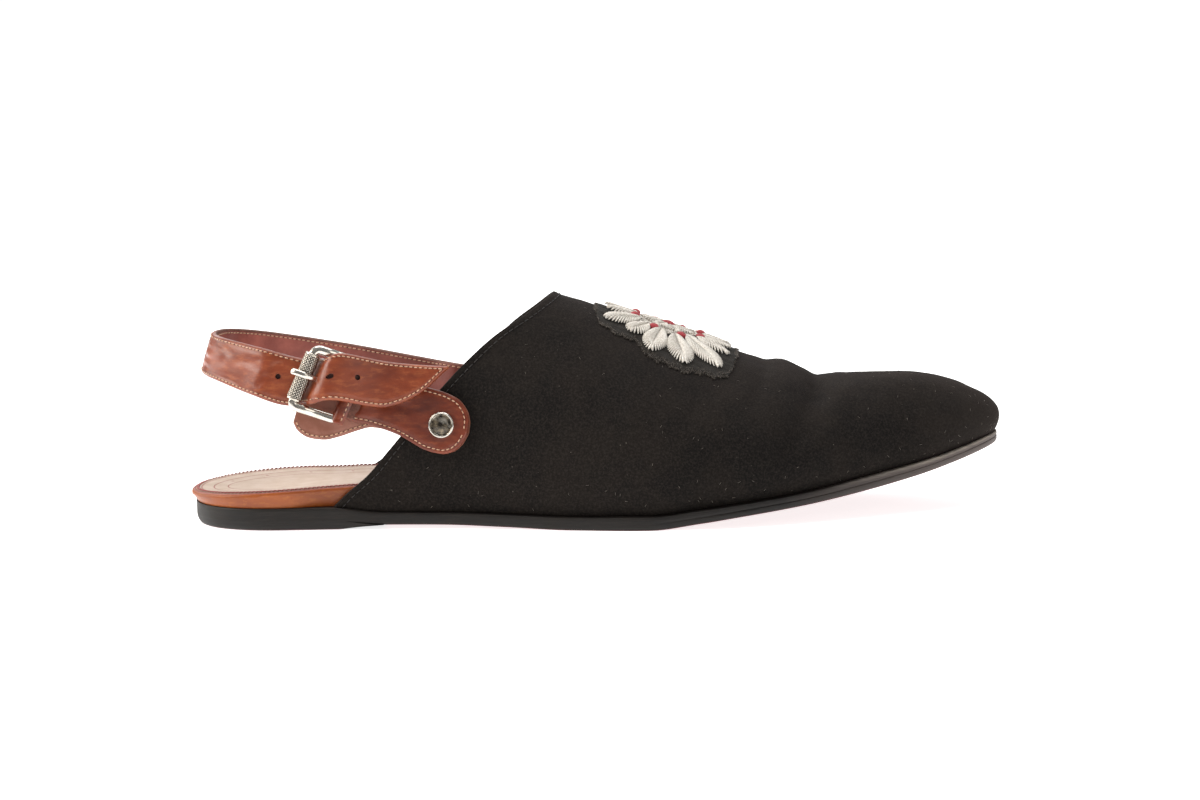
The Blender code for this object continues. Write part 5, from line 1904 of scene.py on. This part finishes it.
class MULE_OT_heel_strap(bpy.types.Operator):
    """Build the heel strap with its lining, holes closed by discs of painted shadow, creases and two rows of
    stitches
    """

    bl_idname = "mule.heel_strap"
    bl_label = "Heel strap"

    def execute(self, context):
        colours, sizes = context.scene.mule_colours, context.scene.mule_sizes
        stations = strap_stations()
        strip = Strip(*stations, STRAP_THICK)
        spots = [near_on_strip(strip, hole[0] * MM, hole[1] * MM) for hole in STRAP_HOLES]
        turn = np.linspace(0, 2 * pi, 25)
        circle = HOLE_RIM * np.stack([np.cos(turn), np.sin(turn)], axis=-1)
        rims = tuple((0.16, 0.45, spot / MM + circle) for spot in spots)
        strip = Strip(*stations, STRAP_THICK, creases=STRAP_CREASES + rims)
        finishes = [
            polished_calf("cognac_waxed_calf", colours.cognac_dark, colours.cognac, colours.cognac_light),
            cut_edge(colours),
            lining_leather("burgundy_calf_lining", colours.lining_dark, colours.lining, colours.lining_front_shade),
        ]
        strap = strip.build("heel_strap_leather", finishes, "cognac_leather")
        hole_shadows = []
        for spot, (_, _, stretch) in zip(spots, STRAP_HOLES):
            punch(strap, strip, spot, stretch, finishes[1])
            # A dark disc closes each punched hole: a painted shadow.
            ring = np.stack([np.cos(turn[:-1]) * stretch, np.sin(turn[:-1])], -1)
            ring = spot + ring * HOLE_SHADOW_RADIUS
            bottom = strip.place(ring[:, 0], ring[:, 1], -HOLE_SHADOW_DEPTH)[0]
            hole_shadows.append((bottom, [np.arange(len(bottom))]))
        strap.data.set_sharp_from_angle(angle=SHARP)
        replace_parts(strap, "heel_strap")
        # The discs' near-black leather is painted shadow.
        shadow = lining_leather("hole_painted_shadow", colours.hole_shade, colours.edge_dark, colours.hole_shade)
        joined_piece("strap_hole_shadows", hole_shadows, shadow)
        rows = strip.seam_line(sizes.stitch_inset)
        stitch("heel_strap_stitches", strip, rows, STITCH_LIFT, sizes, colours)
        stitch("heel_strap_inner_stitches", strip, rows, STITCH_LIFT, sizes, colours, lining=True)
        return {"FINISHED"}


class MULE_OT_buckle_tab(bpy.types.Operator):
    """Build the tab's under layer with its lobe, its cover, the loop round the bar and seams"""

    bl_idname = "mule.buckle_tab"
    bl_label = "Buckle tab"

    def execute(self, context):
        colours, sizes = context.scene.mule_colours, context.scene.mule_sizes
        # The tab's darker calf is partly painted shade from the strap's tail over it.
        calf = polished_calf("russet_waxed_calf", colours.russet_dark, colours.russet_and_shade, colours.russet_light)
        edge = cut_edge(colours)
        under = lining_leather("mauve_brown_calf", colours.lobe_dark, colours.lobe, colours.lobe_dark)
        ends = BACKING.at[0], BACKING.at[-1]
        fine = np.array((0.03, 0.15, 0.35, 0.7, 1.2, 2.0)) * MM
        run = np.concatenate([ends[0] + fine, np.arange(-7, 49, 1.5) * MM, ends[1] - fine[::-1]])
        points, up = tab_place(run, np.full_like(run, SLACK + BACKING_THICK / 2))
        backing = Strip(points, up, BACKING("low", run), BACKING("high", run), BACKING_THICK,
                        outward=-1, puff=0.15 * MM)
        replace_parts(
            backing.build("tab_backing_lobe", [under, edge, under], "cognac_leather"), "tab_backing"
        )
        seam = backing.seam_line(sizes.stitch_inset, start=33 * MM)
        stitch("tab_backing_stitches", backing, seam, STITCH_LIFT, sizes, colours)

        # The cover lies on the under layer and dips where it goes in behind the loop.
        flat = SLACK + BACKING_THICK + 0.05 * MM + CHAPE_THICK / 2
        run = np.concatenate([ends[0] + fine, np.append(np.arange(-7, 37, 1.5), 37.2) * MM])
        lift = flat + 0.7 * MM * smooth_step(run, 22 * MM, 29 * MM) * smooth_step(run, 36 * MM, 30 * MM)
        points, up = tab_place(run, lift)
        dips = ((-0.9, 2.6, ((43.5, -1.5), (40, -2.0))), (-0.25, 1.6, ((22, 3), (30, 1), (36, -0.5))),
                (-0.2, 1.4, ((6, -5), (10, -7))))
        cover = Strip(points, up, CHAPE("low", run), CHAPE("high", run), CHAPE_THICK, outward=-1,
                      puff=0.3 * MM, creases=dips)
        piece = cover.build("tab_cover", [calf, edge, edge], "cognac_leather")
        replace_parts(piece, "tab_chape")
        stitch("tab_cover_stitches", cover, cover.seam_line(sizes.stitch_inset + 0.2 * MM), 0.06 * MM,
               sizes, colours)

        # The loop: from under the bar round its heel side and out over the top to its seam.
        half, reach = BUCKLE_SPAN / 2, BAR_RADIUS + 0.7 * MM
        us, outs = [], []
        for back in (7.5, 5.0, 2.5):
            us.append(half + back * MM)
            outs.append(BAR_OUT - reach - 0.1 * back * MM)
        for turn in np.radians(np.arange(270, 89, -15)):
            us.append(half + reach * cos(turn))
            outs.append(BAR_OUT + reach * sin(turn))
        for ahead, drop in ((0.9, 0.05), (1.7, 0.3), (2.4, 0.8)):
            us.append(half + ahead * MM)
            outs.append(BAR_OUT + reach - drop * MM)
        points = in_buckle(np.array(us), np.zeros(len(us)), np.array(outs))
        _, _, width, _ = buckle_axes()
        count = len(us)
        # Its front hangs lower than the rest and hides the ring's corner.
        low = LOOP_BOTTOM - LOOP_HANG * smooth_step(np.arange(count), 10, 13)
        loop = Strip(points, np.tile(width, (count, 1)), low, np.full(count, LOOP_TOP), LOOP_THICK,
                     puff=0.1 * MM, step=0.4 * MM)
        loop.build("bar_loop", [calf, edge, edge], "cognac_leather", face_steps=28)
        front = loop.at[-1] - LOOP_SEAM
        seam = np.array([(front, across * MM) for across in (-11.4, -4.0, 8.0)])
        stitch("bar_loop_stitches", loop, [seam], STITCH_LIFT, sizes, colours)
        return {"FINISHED"}


# The buckle.

KNURL_COLUMNS = 14  # of the herringbone, round the roller
ROLLER_CORNER = 0.5 * MM
ROLLER_BORE = 1.1 * MM
PRONG_EYE = BAR_RADIUS + 1.2 * MM  # radius of the prong's middle line round the bar
PRONG_TIP = 1.1  # millimetres over which the tip is rounded off


def frame_path():
    """The ring's line through its rounded corners, and its radius: bar, rail, axle, rail."""
    half = BUCKLE_SPAN / 2
    path = []
    corners = (1, -1, 2.6), (1, 1, 2.6), (-1, 1, 2.3), (-1, -1, 2.3)
    for index, (end, side, corner) in enumerate(corners):
        corner = corner * MM
        turns = (index - 1) * pi / 2 + np.linspace(0, pi / 2, 10)
        u = end * (half - corner) + corner * np.cos(turns)
        v = side * (RAIL_ACROSS - corner) + corner * np.sin(turns)
        path.append(np.stack([u, v], axis=-1))
    path = np.concatenate(path)
    path = np.concatenate([path, path[:1]])
    at = lengths_along(path)
    even = np.linspace(0, at[-1], 241)[:-1]
    u, v = np.interp(even, at, path[:, 0]), np.interp(even, at, path[:, 1])
    girth = RAIL_RADIUS + 0.15 * MM - (RAIL_RADIUS - BAR_RADIUS + 0.1 * MM) * smooth_step(u, half - MM, half)
    return in_buckle(u, v, RAILS("out", u)), girth


class MULE_OT_buckle(bpy.types.Operator):
    """Build the buckle's bowed frame, its knurled roller and its prong"""

    bl_idname = "mule.buckle"
    bl_label = "Buckle"

    def execute(self, context):
        colours, sizes = context.scene.mule_colours, context.scene.mule_sizes
        nickel = polished_nickel(colours)
        _, _, width, outward = buckle_axes()
        ahead = np.cross(outward, width)
        points, faces = tube(*frame_path(), sides=20, up=outward, closed=True, flat=0.97, power=2.7)
        ring = make_piece("buckle_ring", points, faces, [nickel])
        weld(ring)
        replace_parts(ring, "buckle_frame")

        # The roller: plain lips at both ends and a herringbone of grooves between.
        middle = in_buckle(-BUCKLE_SPAN / 2, 0, ROLLER_OUT)
        half = ROLLER_LENGTH / 2
        rows, sides = 150, 120
        across = np.linspace(-half, half, rows)
        turn = np.arange(sides) * 2 * pi / sides
        v, t = np.meshgrid(across, turn, indexing="ij")
        zigzag = np.abs((t * KNURL_COLUMNS / (2 * pi)) % 1 - 0.5) * 2
        wave = np.cos(2 * pi * (v / sizes.knurl + zigzag * 0.95))
        seam = np.cos(2 * pi * (t * KNURL_COLUMNS / pi))
        crest = np.clip(0.5 + 0.5 * wave + 0.1 * seam, 0, 1) ** 0.8
        from_end = half - np.abs(v)
        lips = smooth_step(from_end, 0.7 * MM, 1.0 * MM)
        short = 1 - np.clip(from_end / ROLLER_CORNER, 0, 1)
        ends = ROLLER_CORNER * (1 - np.sqrt(np.clip(1 - short**2, 0, 1)))
        radius = ROLLER_RADIUS + 0.1 * MM - sizes.knurl_depth * (1 - crest) * lips - ends
        spokes = ahead * np.cos(turn)[:, None] + outward * np.sin(turn)[:, None]
        points = middle + width * v[..., None] + spokes * radius[..., None]
        crest = np.where(lips > 0.5, crest, 1)
        inner = [middle + width * w + spokes * ROLLER_BORE for w in (half, -half)]
        points = np.concatenate([points, np.stack(inner)])
        crest = np.concatenate([crest, np.zeros((2, sides))])
        faces = list(quads(rows + 2, sides, around=True))
        for i in range(sides):
            j = (i + 1) % sides
            faces.append(((rows + 1) * sides + i, (rows + 1) * sides + j, j, i))
        roller = make_piece("knurled_roller", points, faces, [knurled_nickel(colours)],
                            fields={"crest": crest})
        weld(roller)
        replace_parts(roller, "buckle_roller")

        # The prong: a curl round the bar, then a flat bar with a rounded tip on the roller.
        turns = np.radians(np.linspace(-90, 60, 12))
        u, out = BUCKLE_SPAN / 2 + PRONG_EYE * np.cos(turns), BAR_OUT + PRONG_EYE * np.sin(turns)
        path = [in_buckle(u, PRONG("v", 0.0), out)]
        run = np.linspace(0, PRONG_LENGTH, 60)
        path.append(in_buckle(PRONG("u", run), PRONG("v", run), PRONG("out", run)))
        path = np.concatenate(path)
        at = lengths_along(path)
        even = np.linspace(0, at[-1], 110)
        path = curve_through(at, path, even)
        left = (at[-1] - even) / MM
        tip = np.sqrt(np.clip(1 - (1 - left / PRONG_TIP) ** 2, 0.004, 1))
        girth = np.where(left < PRONG_TIP, tip, 1)
        girth = girth * np.interp(left, (0, 5, 9, 30), (1.2, 1.12, 1.0, 1.0))
        points, faces = tube(path, girth * MM, sides=18, up=outward, flat=0.8, power=2.6)
        prong = make_piece("prong_bar", points, faces, [nickel])
        weld(prong)
        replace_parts(prong, "buckle_prong")
        return {"FINISHED"}


# Half the section of a rivet's cap: radius, height and whether it is the dark middle.
RIVET_CAP = (
    (0.02, -0.9, 0), (4.4, -0.9, 0), (4.7, -0.6, 0), (4.85, 0.0, 0), (4.88, 0.4, 0), (4.84, 0.8, 0),
    (4.7, 1.2, 0), (4.5, 1.45, 0), (4.28, 1.52, 0), (4.08, 1.42, 0), (3.95, 1.2, 1), (3.88, 0.9, 1),
    (3.7, 0.74, 1), (3.3, 0.76, 1), (2.7, 0.88, 1), (2.0, 1.04, 1), (1.2, 1.17, 1), (0.5, 1.23, 1),
    (0.02, 1.25, 1),
)
RIVET_SIDES = 64


class MULE_OT_rivets(bpy.types.Operator):
    """Build the two capped rivets, each a polished ring round a dark sunk middle"""

    bl_idname = "mule.rivets"
    bl_label = "Rivets"

    def execute(self, context):
        colours = context.scene.mule_colours
        tab_face = SLACK + BACKING_THICK + CHAPE_THICK + 0.35 * MM
        strap_face = SLACK + STRAP_THICK + 0.3 * MM
        for node, side, along, height, out in (
            ("outer_rivet", LATERAL, RIVET_ALONG, RIVET_HIGH, tab_face),
            ("inner_rivet", MEDIAL, INNER_RIVET_ALONG, INNER_RIVET_HIGH, strap_face),
        ):
            foot, up = side_point(along, height, out, side)
            head, _ = side_point(along, height, out + MM, side)
            axis = unit(head - foot)
            across = np.cross(axis, up)
            turn = np.arange(RIVET_SIDES) * 2 * pi / RIVET_SIDES
            way = across * np.cos(turn)[:, None] + up * np.sin(turn)[:, None]
            rings = [foot + axis * rise * MM + way * radius * MM for radius, rise, _ in RIVET_CAP]
            slots = list(np.repeat([row[2] for row in RIVET_CAP[1:]], RIVET_SIDES))
            cap = make_piece(node + "_cap", np.stack(rings), capped(len(rings), RIVET_SIDES),
                             [polished_nickel(colours), dark_nickel(colours)], slots + [0, 1])
            weld(cap)
            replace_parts(cap, node)
        return {"FINISHED"}


# The stage.

CAMERA_TURN = radians(2.0)
CAMERA_RISE = radians(7.51)
CAMERA_ROLL = radians(1.556)
CAMERA_AWAY = 1.5
CAMERA_LENS = 121.03  # on a 36 mm sensor
LOOK_AT = Vector((0.1232, 0.0, 0.0416))

# Soft boxes: name, place, size, power and colour.
SOFT_BOXES = (
    ("key", (-1.05, -0.32, 0.72), (0.8, 0.7), 11, "#FFF6EC"),
    ("left", (-1.10, 0.35, 0.40), (0.8, 0.7), 4, "#FFF8F0"),
    ("top", (0.10, 0.10, 1.10), (1.0, 0.8), 9, "#FFFFFF"),
    ("fill", (0.85, -0.95, 0.50), (0.6, 0.6), 1.8, "#FFFAF2"),
    ("back", (-0.25, 1.00, 0.60), (0.9, 0.5), 3, "#FFFFFF"),
)
TENT_STRENGTH = 0.36
SHOWN_STRENGTH = 1.1  # of the surroundings as the camera sees them
FLOOR_HALF = 30.0


class MULE_OT_stage(bpy.types.Operator):
    """Build the floor, the soft boxes, the bright surroundings and the camera"""

    bl_idname = "mule.stage"
    bl_label = "Stage"

    def execute(self, context):
        scene, colours = context.scene, context.scene.mule_colours
        corners = [(x * FLOOR_HALF, y * FLOOR_HALF, 0) for x, y in ((-1, -1), (1, -1), (1, 1), (-1, 1))]
        data = bpy.data.meshes.new("floor")
        data.from_pydata(corners, [], [(0, 1, 2, 3)])
        data.materials.append(lit_acrylic(colours))
        floor = bpy.data.objects.new("floor", data)
        scene.collection.objects.link(floor)

        for name, place, box, power, tint in SOFT_BOXES:
            light = bpy.data.lights.new(name, "AREA")
            light.shape = "RECTANGLE"
            light.size, light.size_y = box
            light.energy = power
            light.color = colour(tint)[:3]
            lamp = bpy.data.objects.new(name, light)
            lamp.location = place
            lamp.rotation_euler = (Vector(place) - LOOK_AT).to_track_quat("Z", "Y").to_euler()
            scene.collection.objects.link(lamp)

        surroundings = bpy.data.worlds.new("bright_tent")
        surroundings.use_nodes = True
        tree = surroundings.node_tree
        shown = tree.nodes["Background"]
        shown.inputs["Color"].default_value = (1, 1, 1, 1)
        shown.inputs["Strength"].default_value = SHOWN_STRENGTH
        parts = add(tree, "SeparateXYZ", {0: add(tree, "TexCoord")["Generated"]})
        tent = layered(tree, colour("#C9C6C2"), (
            (parts["X"], -0.9, 0.9, 0, 1, colour("#7E7F82")),
            (parts["Z"], -0.1, 0.8, 0, 1, colour("#FFFFFF")),
        ))
        lighting = add(tree, "Background", {"Color": tent, "Strength": TENT_STRENGTH})[0]
        seen = add(tree, "LightPath")["Is Camera Ray"]
        mixed = add(tree, "MixShader", {0: seen, 1: lighting, 2: shown.outputs[0]})[0]
        tree.links.new(mixed, tree.nodes["World Output"].inputs["Surface"])
        scene.world = surroundings
        scene.view_settings.view_transform = "Standard"

        camera = bpy.data.objects.new("camera", bpy.data.cameras.new("camera"))
        camera.data.lens = CAMERA_LENS
        back = Vector((sin(CAMERA_TURN) * cos(CAMERA_RISE), -cos(CAMERA_TURN) * cos(CAMERA_RISE),
                       sin(CAMERA_RISE)))
        right = Vector((cos(CAMERA_TURN), sin(CAMERA_TURN), 0))
        up = back.cross(right)
        right, up = (right * cos(CAMERA_ROLL) - up * sin(CAMERA_ROLL),
                     right * sin(CAMERA_ROLL) + up * cos(CAMERA_ROLL))
        turned = Matrix((right, up, back)).transposed().to_4x4()
        turned.translation = LOOK_AT + back * CAMERA_AWAY
        camera.matrix_world = turned
        scene.collection.objects.link(camera)
        scene.camera = camera
        return {"FINISHED"}


OPERATORS = (
    MULE_OT_stage,
    MULE_OT_sole,
    MULE_OT_footbed,
    MULE_OT_vamp,
    MULE_OT_ornament,
    MULE_OT_heel_strap,
    MULE_OT_buckle_tab,
    MULE_OT_buckle,
    MULE_OT_rivets,
)


class MULE_PT_pieces(bpy.types.Panel):
    """Lists the operators that build the shoe"""

    bl_idname = "MULE_PT_pieces"
    bl_label = "Slingback mule"
    bl_space_type = "VIEW_3D"
    bl_region_type = "UI"
    bl_category = "Mule"

    def draw(self, context):
        for operator in OPERATORS:
            self.layout.operator(operator.bl_idname)


CLASSES = (MuleColours, MuleSizes, *OPERATORS, MULE_PT_pieces)


def register():
    for each in CLASSES:
        bpy.utils.register_class(each)
    bpy.types.Scene.mule_colours = bpy.props.PointerProperty(type=MuleColours)
    bpy.types.Scene.mule_sizes = bpy.props.PointerProperty(type=MuleSizes)


def unregister():
    del bpy.types.Scene.mule_sizes
    del bpy.types.Scene.mule_colours
    for each in reversed(CLASSES):
        bpy.utils.unregister_class(each)


def main():
    register()
    for operator in OPERATORS:
        group, name = operator.bl_idname.split(".")
        getattr(getattr(bpy.ops, group), name)()


if __name__ == "__main__":
    main()
